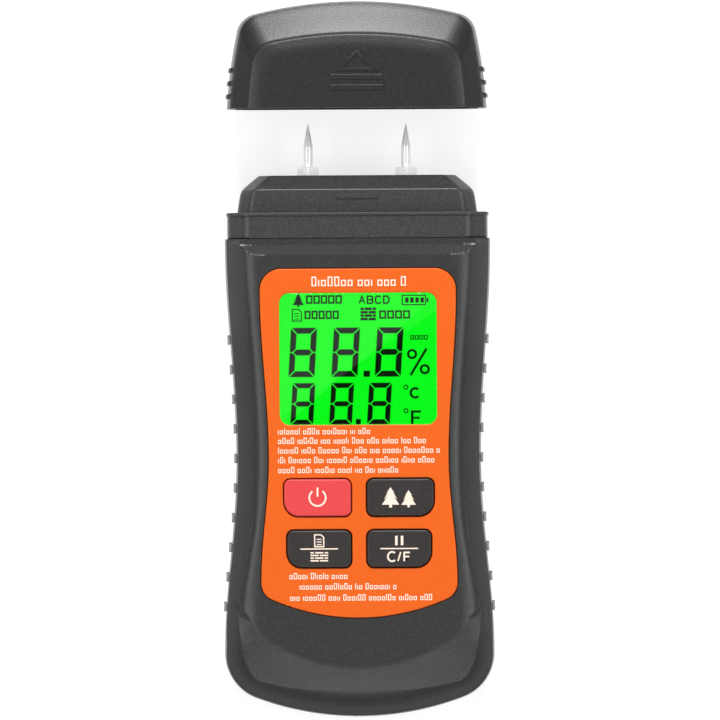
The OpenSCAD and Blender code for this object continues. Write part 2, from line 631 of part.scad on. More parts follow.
front_shell();
rear_shell();
face_plate();
display_lens();
lens_tape();
lcd_glass();
light_guide();
lcd_frame();
zebra_strip();
backlight_leds();
main_board();
board_chips();
thermistor();
probe_head();
probe_pin(-1);  // left_pin
probe_pin(1);  // right_pin
pin_nut(-1);  // left_pin_nut
pin_nut(1);  // right_pin_nut
pin_socket(-1);  // left_socket
pin_socket(1);  // right_socket
probe_leads();
battery_leads();
cell(-1);  // left_cell
cell(0);  // middle_cell
cell(1);  // right_cell
battery_springs();
battery_plates();
case_screws();
board_screws();
key(-1, 0, "#f14b50");  // power_key
key(1, 0, "#3c3a3c");  // wood_key
key(-1, 1, "#3c3a3c");  // paper_wall_key
key(1, 1, "#3c3a3c");  // hold_key
dome(-1, 0);  // power_dome
dome(1, 0);  // wood_dome
dome(-1, 1);  // paper_wall_dome
dome(1, 1);  // hold_dome
cap();
battery_door();
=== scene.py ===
import math

import bmesh
import bpy
import numpy as np
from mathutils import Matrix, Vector


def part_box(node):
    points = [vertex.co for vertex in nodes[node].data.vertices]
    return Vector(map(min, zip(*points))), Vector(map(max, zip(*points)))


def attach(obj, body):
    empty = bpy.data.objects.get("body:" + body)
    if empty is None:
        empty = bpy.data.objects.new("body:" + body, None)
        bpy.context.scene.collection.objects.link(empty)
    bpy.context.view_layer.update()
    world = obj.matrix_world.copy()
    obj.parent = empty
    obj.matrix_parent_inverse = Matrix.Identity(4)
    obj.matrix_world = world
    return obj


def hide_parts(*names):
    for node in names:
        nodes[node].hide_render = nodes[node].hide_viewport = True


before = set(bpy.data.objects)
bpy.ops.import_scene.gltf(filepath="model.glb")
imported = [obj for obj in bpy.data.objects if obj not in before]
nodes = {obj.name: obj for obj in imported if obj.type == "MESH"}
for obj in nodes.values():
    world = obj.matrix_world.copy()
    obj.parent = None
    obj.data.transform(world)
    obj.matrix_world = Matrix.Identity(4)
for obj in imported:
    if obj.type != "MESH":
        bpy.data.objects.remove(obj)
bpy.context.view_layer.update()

MM = 0.001
collection = bpy.context.scene.collection


def node_mm(name):
    """Lowest and highest corners of a CAD node, in millimetres."""
    low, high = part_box(name)
    return np.array(low) / MM, np.array(high) / MM


# ---- places, from the CAD
case_low, case_high = node_mm("front_shell")
COLLAR_Z = node_mm("probe_head")[1][2] - 0.15
cap_low, cap_high = node_mm("cap")
plate_low, plate_high = node_mm("face_plate")
lens_low, lens_high = node_mm("display_lens")
lcd_low, lcd_high = node_mm("lcd_glass")
END_Y, SEAM_Y = case_low[1], case_high[1]
FACE_Z = case_high[2]
MID_Z = COLLAR_Z / 2
MOUTH_Y, CAP_LEN = cap_low[1], cap_high[1] - cap_low[1]
PLATE_Z = plate_high[2]
WINDOW_Y = (lcd_low[1] + lcd_high[1]) / 2

# ---- small tools


def blend(a, b, s):
    """From a to b as s goes from 0 to 1, along half a cosine."""
    return a + (b - a) * (1 - np.cos(np.pi * np.clip(s, 0, 1))) / 2


def smooth(s):
    """From 0 to 1 as s does, level at both ends."""
    s = np.clip(s, 0, 1)
    return s * s * (3 - 2 * s)


def rows_at(at, places, rows):
    """Rows of numbers interpolated between their places."""
    return np.stack([np.interp(at, places, column) for column in np.transpose(rows)], 1)


def resample(points, count):
    """Evenly spaced points along an open polyline."""
    length = np.concatenate([[0], np.cumsum(np.linalg.norm(np.diff(points, axis=0), axis=1))])
    return rows_at(np.linspace(0, length[-1], count), length, points)


def arc(centre, r, start, end, steps):
    """Points on a circle between two angles in degrees."""
    a = np.radians(np.linspace(start, end, steps))
    return np.stack([centre[0] + r * np.cos(a), centre[1] + r * np.sin(a)], 1)


def both_halves(right):
    """A symmetric outline from its right half, which ends on the centre line."""
    return np.concatenate([right, (right[:-1] * [-1, 1])[::-1]])


def unit_rows(vectors):
    return vectors / np.linalg.norm(vectors, axis=1)[:, None]


def inwards(points):
    """Unit normals that point into an outline that runs clockwise; its two ends point along X."""
    t = np.gradient(points, axis=0)
    n = unit_rows(np.stack([t[:, 1], -t[:, 0]], 1))
    n[0], n[-1] = (-1, 0), (1, 0)
    return n


def linked(name, data):
    """A new object in the scene."""
    obj = bpy.data.objects.new(name, data)
    collection.objects.link(obj)
    return obj


def shade(obj, angle):
    """Smooth shading with edges sharp beyond an angle."""
    obj.data.shade_smooth()
    obj.data.set_sharp_from_angle(angle=math.radians(angle))
    return obj


def edit_mesh(me, *steps):
    """Runs steps, each given the mesh's BMesh, and writes the result back."""
    bm = bmesh.new()
    bm.from_mesh(me)
    for step in steps:
        step(bm)
    bm.to_mesh(me)
    bm.free()


def face_outwards(bm):
    bmesh.ops.recalc_face_normals(bm, faces=bm.faces)


def merge_within(dist):
    return lambda bm: bmesh.ops.remove_doubles(bm, verts=bm.verts, dist=dist)


def new_object(name, verts, faces, angle=32):
    me = bpy.data.meshes.new(name)
    me.from_pydata([tuple(float(c) * MM for c in v) for v in verts], [], [tuple(int(i) for i in f) for f in faces])
    edit_mesh(me, face_outwards)
    return shade(linked(name, me), angle)


def tube_faces(n, pairs):
    """Faces between rings of n points, for pairs of rings."""
    return [(a * n + i, a * n + (i + 1) % n, b * n + (i + 1) % n, b * n + i) for a, b in pairs for i in range(n)]


def loft(name, rings, closed_across=False, angle=32):
    """Surface through rings of points. closed_across joins the last ring to the first."""
    pairs = [(k, k + 1) for k in range(len(rings) - 1)]
    if closed_across:
        pairs.append((len(rings) - 1, 0))
    return new_object(name, np.concatenate(rings), tube_faces(len(rings[0]), pairs), angle)


def at_height(outline, z):
    """A flat outline as a ring at height z, which may be one value or one for each point."""
    return np.column_stack([outline, np.broadcast_to(z, len(outline))])


def join(name, parts, angle=32):
    """Several meshes as one object."""
    bm = bmesh.new()
    for part in parts:
        bm.from_mesh(part.data)
        old = part.data
        bpy.data.objects.remove(part)
        bpy.data.meshes.remove(old)
    me = bpy.data.meshes.new(name)
    bm.to_mesh(me)
    bm.free()
    return shade(linked(name, me), angle)


def evaluated_mesh(obj, **how):
    deps = bpy.context.evaluated_depsgraph_get()
    return bpy.data.meshes.new_from_object(obj.evaluated_get(deps), **how)


def modify(obj, kind, **settings):
    """Adds a modifier."""
    modifier = obj.modifiers.new(kind, kind)
    for k, v in settings.items():
        setattr(modifier, k, v)


def applied(obj, **how):
    """The object with its modifiers applied."""
    me = evaluated_mesh(obj, **how)
    obj.modifiers.clear()
    obj.data = me
    return obj


def flat_shaded(obj, angle=50):
    """Smooth edges whose large faces stay flat."""
    modify(shade(obj, angle), "WEIGHTED_NORMAL", mode="FACE_AREA", weight=100, keep_sharp=True)
    return applied(obj, preserve_all_data_layers=True, depsgraph=bpy.context.evaluated_depsgraph_get())


def slab(name, outlines, low, high, edge=0.0, steps=3, angle=50):
    """A plate with straight sides and rounded edges; an outline inside another is a hole."""
    curve = bpy.data.curves.new(name, "CURVE")
    curve.dimensions = "2D"
    curve.fill_mode = "BOTH"
    curve.extrude = ((high - low) / 2 - edge) * MM
    curve.bevel_depth = edge * MM
    curve.bevel_resolution = steps
    curve.offset = -edge * MM
    for outline in outlines:
        spline = curve.splines.new("POLY")
        spline.points.add(len(outline) - 1)
        for p, (x, y) in zip(spline.points, outline):
            p.co = (x * MM, y * MM, 0, 1)
        spline.use_cyclic_u = True
    obj = linked(name, curve)
    me = evaluated_mesh(obj)
    bpy.data.objects.remove(obj)
    bpy.data.curves.remove(curve)
    for v in me.vertices:
        v.co.z += (low + high) / 2 * MM
    me.name = name
    edit_mesh(me, merge_within(1e-6), face_outwards)
    return flat_shaded(linked(name, me), angle)


def rounded_rect(cx, cy, w, l, r, steps=6):
    """r is one radius, or four: right top, left top, left bottom, right bottom."""
    radii = [r] * 4 if np.isscalar(r) else r
    corners = zip([(1, 1), (-1, 1), (-1, -1), (1, -1)], radii)
    return np.concatenate([arc((cx + sx * (w / 2 - q), cy + sy * (l / 2 - q)), q, 90 * k, 90 * k + 90, steps)
                           for k, ((sx, sy), q) in enumerate(corners)])


def stroke(points, w, closed=False):
    """Outline or outlines of a line of width w with square ends."""
    p = np.asarray(points, float)
    if closed:
        before, after = np.roll(p, 1, 0), np.roll(p, -1, 0)
    else:
        before, after = np.vstack([p[:1], p[:-1]]), np.vstack([p[1:], p[-1:]])
    a, b = p - before, after - p
    a = np.where(np.linalg.norm(a, axis=1)[:, None] > 1e-9, a, b)
    b = np.where(np.linalg.norm(b, axis=1)[:, None] > 1e-9, b, a)
    a, b = unit_rows(a), unit_rows(b)
    m = unit_rows(a + b)
    n = np.stack([-m[:, 1], m[:, 0]], 1) / np.clip((m * b).sum(1), 0.4, 1)[:, None] * w / 2
    if closed:
        return [p + n, p - n]
    return [np.concatenate([p + n, (p - n)[::-1]])]


# ---- outlines of the case and of the face plate
# Half widths at the waist, at the seam below the collar and at the broadest place near the round end
WAIST_W, SEAM_W, BROAD_W = 29.9, 32.5, 33.0
WAIST_Y = END_Y + 63.5
END_R, CORNER_R = 72.0, 11.7


def end_corner(half_w, y0, end_r, r):
    """Centre and sweep of the round corner between a flank and an end arc."""
    cx = half_w - r
    cy = y0 + end_r - math.sqrt((end_r - r) ** 2 - cx ** 2)
    return cx, cy, math.degrees(math.acos(cx / (end_r - r)))


CORNER_X, CORNER_Y, CORNER_SWEEP = end_corner(BROAD_W, END_Y, END_R, CORNER_R)


def waisted(y, top_w, top_y, waist_w, low_w, low_y):
    """A half width that is narrowest at the waist."""
    y = np.asarray(y, float)
    return np.where(y > WAIST_Y, blend(waist_w, top_w, (y - WAIST_Y) / (top_y - WAIST_Y)),
                    blend(waist_w, low_w, (WAIST_Y - y) / (WAIST_Y - low_y)))


def case_half_w(y):
    return waisted(y, SEAM_W, SEAM_Y, WAIST_W, BROAD_W, CORNER_Y)


N_FLANK, N_CORNER, N_END = 230, 50, 60
flank_y = np.linspace(SEAM_Y, CORNER_Y, N_FLANK)
case_outline = both_halves(np.concatenate([
    np.column_stack([case_half_w(flank_y), flank_y]),
    arc((CORNER_X, CORNER_Y), CORNER_R, 0, -CORNER_SWEEP, N_CORNER)[1:],
    arc((0, END_Y + END_R), END_R, -CORNER_SWEEP, -90, N_END)[1:]]))

PLATE_TOP_Y, PLATE_END_Y = plate_high[1], plate_low[1]
PLATE_WAIST_W, PLATE_END_W = 22.1, 24.1
PLATE_R, PLATE_END_R, PLATE_CORNER_R = 5.4, 53.0, 4.5
PLATE_CX, PLATE_CY, PLATE_SWEEP = end_corner(PLATE_END_W, PLATE_END_Y, PLATE_END_R, PLATE_CORNER_R)


def plate_right(grow, n_top, n_flank, n_corner, n_end):
    """Right half of the plate's outline, larger by grow, with as many points in each stretch as asked."""
    top = PLATE_TOP_Y - PLATE_R
    y = np.linspace(top, PLATE_CY, n_flank)
    half_w = waisted(y, PLATE_END_W, top, PLATE_WAIST_W, PLATE_END_W, PLATE_CY)
    return np.concatenate([
        arc((PLATE_END_W - PLATE_R, top), PLATE_R + grow, 90, 0, n_top),
        np.column_stack([half_w + grow, y])[1:],
        arc((PLATE_CX, PLATE_CY), PLATE_CORNER_R + grow, 0, -PLATE_SWEEP, n_corner)[1:],
        arc((0, PLATE_END_Y + PLATE_END_R), PLATE_END_R + grow, -PLATE_SWEEP, -90, n_end)[1:]])


N_TOP = 24


def plate_like_case(grow):
    """The plate's outline, point for point with the case's: its first points go round the top corner."""
    return both_halves(plate_right(grow, N_TOP, N_FLANK - N_TOP + 1, N_CORNER, N_END))


plate_pair = plate_like_case(0.12)

# ---- front half of the case
WALL_TOP_Z, DRAFT = 19.2, 0.45
N_SEAM = 90


def across_seam(ring):
    """A ring closed by a straight row of points between its two ends."""
    s = np.linspace(0, 1, N_SEAM + 2)[1:-1, None]
    return np.concatenate([ring, ring[-1] * (1 - s) + ring[0] * s])


normal = inwards(case_outline)
up = case_outline[:, 1] - END_Y
# Bevel of the flanks: share of its width, share of its height. Under the chin it turns into a rounder one
BEVEL = np.array([(0.09, 0.0), (0.098, 0.04), (0.115, 0.07), (0.15, 0.11), (0.2, 0.165), (0.3, 0.28), (0.6, 0.60),
                  (0.8, 0.805), (1, 1)])
BEVEL_START = BEVEL[0, 0]
BEVEL_LOW_Z = 21.2
# Each at the seam, the top of the flanks, the waist, the low flanks and the chin: width of the bevel in mm, and
# how far its lower edge stands above BEVEL_LOW_Z and its upper edge above COLLAR_Z
BEVEL_W = (4.7, 4.9, 4.3, 3.7, 7.0)
BEVEL_LOW = (0.0, 0.35, 0.8, 1.5, -0.45)
BEVEL_HIGH = (0.0, 1.3, 0.8, 1.0, 0.6)
CHIN_UP, CHIN_L = 25, 18     # the chin starts at the one and is full after the other


def chin_at(up_):
    """0 along the flanks and 1 at the round end."""
    return blend(0, 1, (CHIN_UP - up_) / CHIN_L)


def flank_at(up_):
    """0 at the seam, where the bevel meets the collar's, and 1 along the flanks, where it stands higher."""
    return smooth((SEAM_Y - END_Y - 0.1 - up_) / 1.4) * (1 - chin_at(up_))


def along_case(up_, seam, top, waist, fin, chin):
    """A value that goes from the seam past the top of the flanks, the waist and the low flanks to the chin."""
    flank = top + (waist - top) * smooth((100 - up_) / 15) + (fin - waist) * smooth((50 - up_) / 22)
    return seam + (flank - seam) * flank_at(up_) + (chin - seam) * chin_at(up_)


def bevel_w(up_):
    return along_case(up_, *BEVEL_W)


def bevel_z(w, up_):
    """Height of the bevel at a share w of its width; up_ is the distance from the round end along Y."""
    low = BEVEL_LOW_Z + along_case(up_, *BEVEL_LOW)
    high = COLLAR_Z + along_case(up_, *BEVEL_HIGH)
    past = np.clip((w - 0.05) / 0.95, 0, 1)
    flank_share = np.interp(w, BEVEL[:, 0], BEVEL[:, 1])
    chin_share = (1.5 * past - 0.5 / 0.73 * np.maximum(past - 0.27, 0) ** 2) / 1.135
    c = chin_at(up_)
    return low + (high - low) * (flank_share * (1 - c) + chin_share * c)


def inset_of(x, y):
    """Distance inwards from the case's outline."""
    x = np.abs(x)
    corner = CORNER_R - np.hypot(x - CORNER_X, y - CORNER_Y)
    end = END_R - np.hypot(x, y - END_Y - END_R)
    return np.where(y > CORNER_Y, case_half_w(y) - x, np.where(x > CORNER_X, corner, end))


chin = chin_at(up)
full_w, full_z = bevel_w(up), bevel_z(1.0, up)
ledge = case_outline + normal * full_w[:, None]

rings = [at_height(case_outline, MID_Z), at_height(case_outline + normal * 0.06, MID_Z + 0.9)]
for k in np.linspace(0.15, 1, 9):
    wall_z = MID_Z + (bevel_z(BEVEL_START, up) - MID_Z) * k
    rings.append(at_height(case_outline + normal * (DRAFT * k ** 1.3), wall_z))
for w in np.concatenate([[0.10, 0.112, 0.125, 0.145, 0.17], np.linspace(0.2, 1, 25)]):
    rings.append(at_height(case_outline + normal * (full_w * w)[:, None], bevel_z(w, up)))

# From the ledge the flank rises in a round shoulder; round the chin and the corners a plain slope ends on an arc
DOME, LEAN = 2.6, 0.3
SLOPE, SLOPE_R, SLOPE_UP, SLOPE_SOFT = 0.3, 40.0, 52.3, 0.5
STEP_Y, STEP_L = SEAM_Y - 4.0, 2.5
# Shares of the way to the plate where the top step bends
STEP_KNEES = [(SEAM_Y - STEP_Y - part) / (SEAM_Y - plate_pair[0, 1]) for part in (STEP_L, 0)]


def dome_at(k):
    """Share of the shoulder's height at a share k of its width."""
    return (1 - LEAN) * (1 - (1 - k) ** DOME) + LEAN * k


def slope_z(x, up_):
    """Height of the slope round the chin, which ends on an arc."""
    beyond = np.hypot(x, up_ - SLOPE_UP) - SLOPE_R
    return FACE_Z - SLOPE * (beyond + np.hypot(beyond, SLOPE_SOFT)) / 2


def low_end(up_):
    """0 along the flanks and 1 below, where the slope takes over from the shoulder."""
    return smooth((CHIN_UP - up_) / 5)


for k in sorted([*np.linspace(0, 1, 40)[1:], *STEP_KNEES]):
    row = ledge * (1 - k) + plate_pair * k
    row_up = row[:, 1] - END_Y
    slope = np.minimum(slope_z(row[:, 0], row_up), full_z + np.linalg.norm(row - ledge, axis=1))
    share = np.maximum(low_end(row_up), chin)
    rings.append(at_height(row, (full_z + (FACE_Z - full_z) * dome_at(k)) * (1 - share) + slope * share))

# Fins: a shallow facet opens on the bevel at a tip and widens down the corner into the chin
TIP_UP, TIP_INSET, TIP_LEAN, FACET, FOOT, FIN_SOFT = 28.6, 2.1, 0.2, 0.31, 0.95, 0.4
for r in rings:
    up_ = r[:, 1] - END_Y
    r[:, 2] -= np.maximum(r[:, 2] - slope_z(r[:, 0], up_), 0) * low_end(up_)
    inset = inset_of(r[:, 0], r[:, 1])
    low = TIP_UP - up_
    outer = TIP_INSET + TIP_LEAN * low
    inner = outer + 0.3 * low + 0.5 * np.maximum(low - 2.5, 0) ** 2
    tilt = FACET + 0.14 * smooth((9 - low) / 5)
    facet = bevel_z(outer / bevel_w(up_), up_) + tilt * np.clip(inset - outer, 0, inner - outer) \
        + FOOT * np.maximum(inset - inner, 0)
    over = r[:, 2] - facet
    soft = FIN_SOFT * smooth((low - 4) / 6) * np.clip(inset - outer, 0, 1)
    r[:, 2] -= (over + np.hypot(over, soft)) / 2 * smooth((up_ - 9) / 6) * (inset > outer) * (low > 0)
rings = [across_seam(r) for r in rings]

# Top step: the shoulders run straight up to it, and a slope down to the collar's height cuts off the face
for r in rings:
    up_, inset = r[:, 1] - END_Y, case_half_w(r[:, 1]) - np.abs(r[:, 0])
    shoulder = (inset - bevel_w(up_)) / (case_half_w(r[:, 1]) - PLATE_END_W - bevel_w(up_))
    top_z = bevel_z(1.0, up_) + (FACE_Z - bevel_z(1.0, up_)) * dome_at(np.clip(shoulder, 0, 1))
    r[:, 2] += (top_z - r[:, 2]) * smooth((up_ - 98) / 6) * (shoulder > 0)
    over = r[:, 2] > COLLAR_Z
    step = COLLAR_Z + (FACE_Z - COLLAR_Z) * np.maximum((STEP_Y + STEP_L - r[:, 1]) / STEP_L, 0)
    r[over, 2] = np.minimum(r[over, 2], step[over])

# Pocket of the face plate, then the inner faces back to the parting line
POCKET_Z, CEILING_Z, WALL_T = plate_low[2], 23.4, 2.0
pocket = plate_like_case(0.1)
rings[-1] = across_seam(at_height(pocket, FACE_Z))
for outline, z in [(plate_like_case(0.02), FACE_Z - 0.08), (pocket, POCKET_Z), (pocket * [0.97, 1], CEILING_Z),
                   (case_outline + normal * 5.6, CEILING_Z - 0.3), (case_outline + normal * 5.4, WALL_TOP_Z),
                   (case_outline + normal * WALL_T, WALL_TOP_Z - 1), (case_outline + normal * WALL_T, MID_Z)]:
    rings.append(across_seam(at_height(outline, z)))
front = loft("case_front", rings, closed_across=True, angle=38)


def crease_step(bm):
    """Keeps the bends of the top step sharp."""
    for e in bm.edges:
        middle = (e.verts[0].co + e.verts[1].co) / 2 / MM
        at_step = middle.y > STEP_Y - 0.5 and middle.z > COLLAR_Z - 0.02
        if at_step and e.calc_face_angle(0) > math.radians(12):
            e.smooth = False


edit_mesh(front.data, crease_step)

# ---- pieces that keep the CAD's form, with rounded edges


def rounded_copy(node, name, width, angle=30):
    """A copy of a CAD node whose sharp edges are rounded."""
    me = nodes[node].data.copy()
    me.name = name
    edit_mesh(me, merge_within(2e-6), lambda bm: bmesh.ops.dissolve_limit(
        bm, angle_limit=math.radians(1.5), verts=bm.verts, edges=bm.edges))
    if "sharp_edge" in me.attributes:
        me.attributes.remove(me.attributes["sharp_edge"])
    obj = linked(name, me)
    modify(obj, "BEVEL", width=width * MM, segments=2, limit_method="ANGLE", angle_limit=math.radians(angle),
           use_clamp_overlap=True, miter_outer="MITER_ARC")
    return flat_shaded(shade(applied(obj), 30), 40)


rear = rounded_copy("rear_shell", "case_rear", 0.15)

# ---- probe head: collar, rim and neck
NECK_Y, RIM_Y, RIM_L = 44.9, 35.8, 0.9


def rounded_poly(corners, setbacks, steps=7):
    """A closed outline whose corners are rounded."""
    corners = np.asarray(corners, float)
    out = []
    for before, at, after, d in zip(np.roll(corners, 1, 0), corners, np.roll(corners, -1, 0), setbacks):
        a, b = [at + (other - at) / np.linalg.norm(other - at) * d for other in (before, after)]
        k = np.linspace(0, 1, steps)[:, None]
        out.append(a * (1 - k) ** 2 + 2 * at * k * (1 - k) + b * k ** 2)
    return np.concatenate(out)


def mirrored_section(right, setbacks):
    """An XZ section from the corners of its right half."""
    right = np.asarray(right, float)
    return rounded_poly(np.concatenate([right, (right * [-1, 1])[::-1]]), [*setbacks, *setbacks[::-1]])


def collar_section(grow):
    w = 32.0 + grow
    corners = [(w - BEVEL_W[0], COLLAR_Z + grow), (w - 0.43, BEVEL_LOW_Z), (w, MID_Z), (w - 0.45, 6.5),
               (w - 1.9, 2.9), (w - 5.4, 0.2 - min(grow, 0.2))]
    return mirrored_section(corners, [1.3, 0.8, 3, 1.5, 1.5, 1.5])


def ramp(x, soft):
    """0 below 0 and x above, with a soft bend between."""
    return (x + np.sqrt(x * x + soft * soft)) / 2


NECK_HALF_W, NECK_LOW_Z, NECK_HIGH_Z, NECK_CHAMFER, NECK_SLOPE_L = 29.35, 2.6, 22.6, 3, 3.5


def neck_section(y, shrink=0.0):
    """The neck leans in a little; near the pins it leans in more, and its front and back slope."""
    w = NECK_HALF_W - 0.13 * (y - RIM_Y) - 1.1 * ramp(y - (NECK_Y - 3.7), 0.8) - shrink
    drop = ramp(y - (NECK_Y - NECK_SLOPE_L), 0.01) + shrink
    high, low, c = NECK_HIGH_Z - drop, NECK_LOW_Z + drop, NECK_CHAMFER
    return mirrored_section([(w - c, high), (w, high - c), (w, low + c), (w - c, low)], [1.0] * 4)


def along_y(name, rows):
    """A solid through XZ sections at given places along Y."""
    n = len(rows[0][1])
    last = (len(rows) - 1) * n
    faces = tube_faces(n, [(k, k + 1) for k in range(len(rows) - 1)])
    faces += [tuple(range(n)), tuple(range(last, last + n))]
    return new_object(name, np.concatenate([np.insert(section, 1, y, 1) for y, section in rows]), faces)


# Each row: place along Y, then how far the section grows or shrinks
collar_rows = [(SEAM_Y + 0.02, -0.3), (SEAM_Y + 0.22, -0.05), (SEAM_Y + 0.4, 0)]
collar_rows += [(y, 0) for y in np.linspace(SEAM_Y + 1, RIM_Y - RIM_L, 8)]
rim_rows = [(RIM_Y - RIM_L + y, g) for y, g in
            ((0, 0.0), (0.04, 0.18), (0.14, 0.25), (0.7, 0.25), (0.84, 0.18), (RIM_L, 0.0))]
neck_stretches = ((RIM_Y - 0.5, NECK_Y - 5, 8), (NECK_Y - 4.8, NECK_Y - NECK_SLOPE_L, 7),
                  (NECK_Y - 3.3, NECK_Y - 0.25, 16))
neck_rows = [(y, 0) for stretch in neck_stretches for y in np.linspace(*stretch)]
neck_rows += [(NECK_Y - 0.1, 0.05), (NECK_Y, 0.22)]
head_parts = [along_y("collar", [(y, collar_section(g)) for y, g in collar_rows]),
              along_y("rim", [(y, collar_section(g)) for y, g in rim_rows]),
              along_y("neck", [(y, neck_section(y, g)) for y, g in neck_rows])]
head_parts += [slab("snap", [rounded_rect(0, NECK_Y - 5.15, 10.4, 0.95, 0.2, 4)], z - 0.45, z + 0.45, 0.05, 2)
               for z in (NECK_HIGH_Z, NECK_LOW_Z)]
head = flat_shaded(join("probe_head_moulding", head_parts), 35)
door = rounded_copy("battery_door", "battery_cover", 0.15)

# ---- grip ribs
RIB_PITCH, RIB_L, RIB_OUT, RIB_COUNT = 7.26, 2.3, 0.62, 10
FIRST_RIB_Y = END_Y + 92.4


def round_off(share):
    """Share of the full height at a share of the way in from a rounded edge."""
    return math.sqrt(max(0.0, 1 - (1 - min(share, 1)) ** 2))


def grip_bar(side, path, rows, across, edge_w, proud, skirt, sunk, wall):
    """A raised bar that wraps a flank. path lists (inset, z) up the flank and becomes rows; across are places over
    the bar's width, rounded over edge_w; wall gives the flank's half width and Y at each. The outermost points lie
    skirt deep in the wall, and the back sunk deep."""
    half = across[-1]
    front_points, back_points = [], []
    for k, (inset, z) in enumerate(resample(path, rows)):
        rise = proud * round_off(min(k, rows - 1 - k) / 3.0)
        for a in across:
            edge = half - abs(a)
            x, y = wall(a)
            out = rise * round_off(edge / edge_w) if edge > 0 else -skirt
            front_points.append((side * (x - inset + out), y, z))
            back_points.append((side * (x - inset - sunk), y, z))
    grid = np.arange(rows * len(across)).reshape(rows, -1)
    cells = np.stack([grid[:-1, :-1], grid[1:, :-1], grid[1:, 1:], grid[:-1, 1:]], -1).reshape(-1, 4)
    border = np.concatenate([grid[:, 0], grid[-1, 1:], grid[-2::-1, -1], grid[0, -2:0:-1]])
    wall_faces = np.stack([border, np.roll(border, -1), np.roll(border, -1) + grid.size, border + grid.size], 1)
    faces = [*cells, *(cells[:, [0, 3, 2, 1]] + grid.size), *wall_faces]
    return new_object("rib", front_points + back_points, faces, angle=50)


def case_rib(side, y):
    path = [(0.85, 20.7), (0.6, 19.9), (0.45, 19.0), (0.2, 16), (0.0, 12.8), (0.2, 9.2), (0.6, 6.2), (1.3, 4.3)]
    across = np.linspace(-RIB_L / 2, RIB_L / 2, 13)
    return grip_bar(side, path, 26, across, 0.14 * RIB_L, RIB_OUT, 0.45, 0.5,
                    lambda a: (float(case_half_w(y + a)), y + a))


ribs = join("grip_ribs", [case_rib(side, FIRST_RIB_Y - i * RIB_PITCH) for i in range(RIB_COUNT) for side in (-1, 1)],
            angle=50)

# ---- face plate, keys and window
# Each key with the name of its finish. The CAD's box of a key includes a flange that stands out all round
KEYS = {"power_key": "red_key", "wood_key": "dark_key", "paper_wall_key": "dark_key", "hold_key": "dark_key"}
FLANGE_OUT, KEY_CLEAR, KEY_R, KEY_OUTER_R = 1.1, 0.25, 1.6, 3.6


def middle_of(node):
    low, high = node_mm(node)
    return (low[:2] + high[:2]) / 2


def key_outline(node, grow=0.0):
    """A key's outline: its corner by the round end of the plate is rounder."""
    low, high = node_mm(node)
    w, l = (high - low)[:2] - 2 * FLANGE_OUT + 2 * grow
    cx, cy = middle_of(node)
    r, outer_r = KEY_R + grow, KEY_OUTER_R + grow
    return rounded_rect(cx, cy, w, l, [r, r, r, outer_r] if cx > 0 else [r, r, outer_r, r], 8)


plate_outline = both_halves(plate_right(-0.15, 16, 60, 16, 30))
window = rounded_rect(0, WINDOW_Y, 38.4, 32.2, 2.5, 10)
key_holes = [key_outline(k, KEY_CLEAR) for k in KEYS]
plate = slab("face_panel", [plate_outline, window] + key_holes, POCKET_Z, PLATE_Z, 0.32, 4)

key_objects = {}
for k in KEYS:
    low, high = node_mm(k)
    body = slab(k + "_cap", [key_outline(k)], low[2], high[2], 0.38, 4)
    flange = slab(k + "_flange", [key_outline(k, 1.05)], low[2] + 0.1, low[2] + 1.0, 0.1, 1)
    key_objects[k] = flat_shaded(join(k + "_button", [body, flange]))

lens = slab("window_lens", [rounded_rect(0, WINDOW_Y, 38.2, 32, 2.4, 10)], lens_low[2], lens_high[2], 0.1, 2)

# ---- display segments
SEG_Z = lcd_high[2] + 0.006
SEG_T = 0.02
SLANT = math.tan(math.radians(3.5))
UNIT = 0.245


def layout(x0, y0, mm, x_mm=0.0, y_mm=0.0):
    """Turns a drawing's places, y down, into millimetres: a unit is mm, and x0, y0 lies at x_mm, y_mm."""
    return lambda x, y: np.array([x_mm + (x - x0) * mm, y_mm - (y - y0) * mm])


on_lcd = layout(359.9, 359.0, UNIT, 0, WINDOW_Y)
on_face = layout(358.6, 360, UNIT, 0, -0.1)


def digit(x, y, w, h, t, g=0.75):
    """Seven mitred segments of an 8. x, y is the middle; t is their width and g sets the gaps."""
    a, b = w / 2, h / 2
    top = [(g - a, -b), (a - g, -b), (a - t - g, t - b), (t + g - a, t - b)]
    flank = [(-a, g - b), (t - a, t + g - b), (t - a, -t / 2 - g), (t / 2 - a, -g * 0.7), (-a, -g * 0.7)]
    bar = [(t / 2 + g - a, 0), (t + g - a, -t / 2), (a - t - g, -t / 2), (a - t / 2 - g, 0),
           (a - t - g, t / 2), (t + g - a, t / 2)]
    parts = [bar] + [[(c, d * k) for c, d in top] for k in (1, -1)]
    parts += [[(c * m, d * k) for c, d in flank] for k in (1, -1) for m in (1, -1)]
    return [np.array([on_lcd(x + c - d * SLANT, y + d) for c, d in part]) for part in parts]


def frame_points(x0, y0, x1, y1):
    return [(x0, y0), (x1, y0), (x1, y1), (x0, y1)]


def box_at(unit, *corners):
    """A filled rectangle; unit turns layout units into millimetres."""
    return np.array([unit(*p) for p in frame_points(*corners)])


def clip_low(outlines, y_min):
    """Outlines cut off at the window's lower edge."""
    out = []
    for o in outlines:
        pts = []
        for a, b in zip(o, np.roll(o, -1, 0)):
            if a[1] >= y_min:
                pts.append(a)
            if (a[1] - y_min) * (b[1] - y_min) < 0:
                pts.append(a + (b - a) * (y_min - a[1]) / (b[1] - a[1]))
        if len(pts) > 2:
            out.append(np.array(pts))
    return out


def lcd_line(points, w, closed=False):
    return stroke([on_lcd(*p) for p in points], w * UNIT, closed)


def arc_at(x, y, r, start, end, steps):
    """Layout points on an arc, anticlockwise as seen."""
    return [(x + r * math.cos(t), y - r * math.sin(t)) for t in np.radians(np.linspace(start, end, steps))]


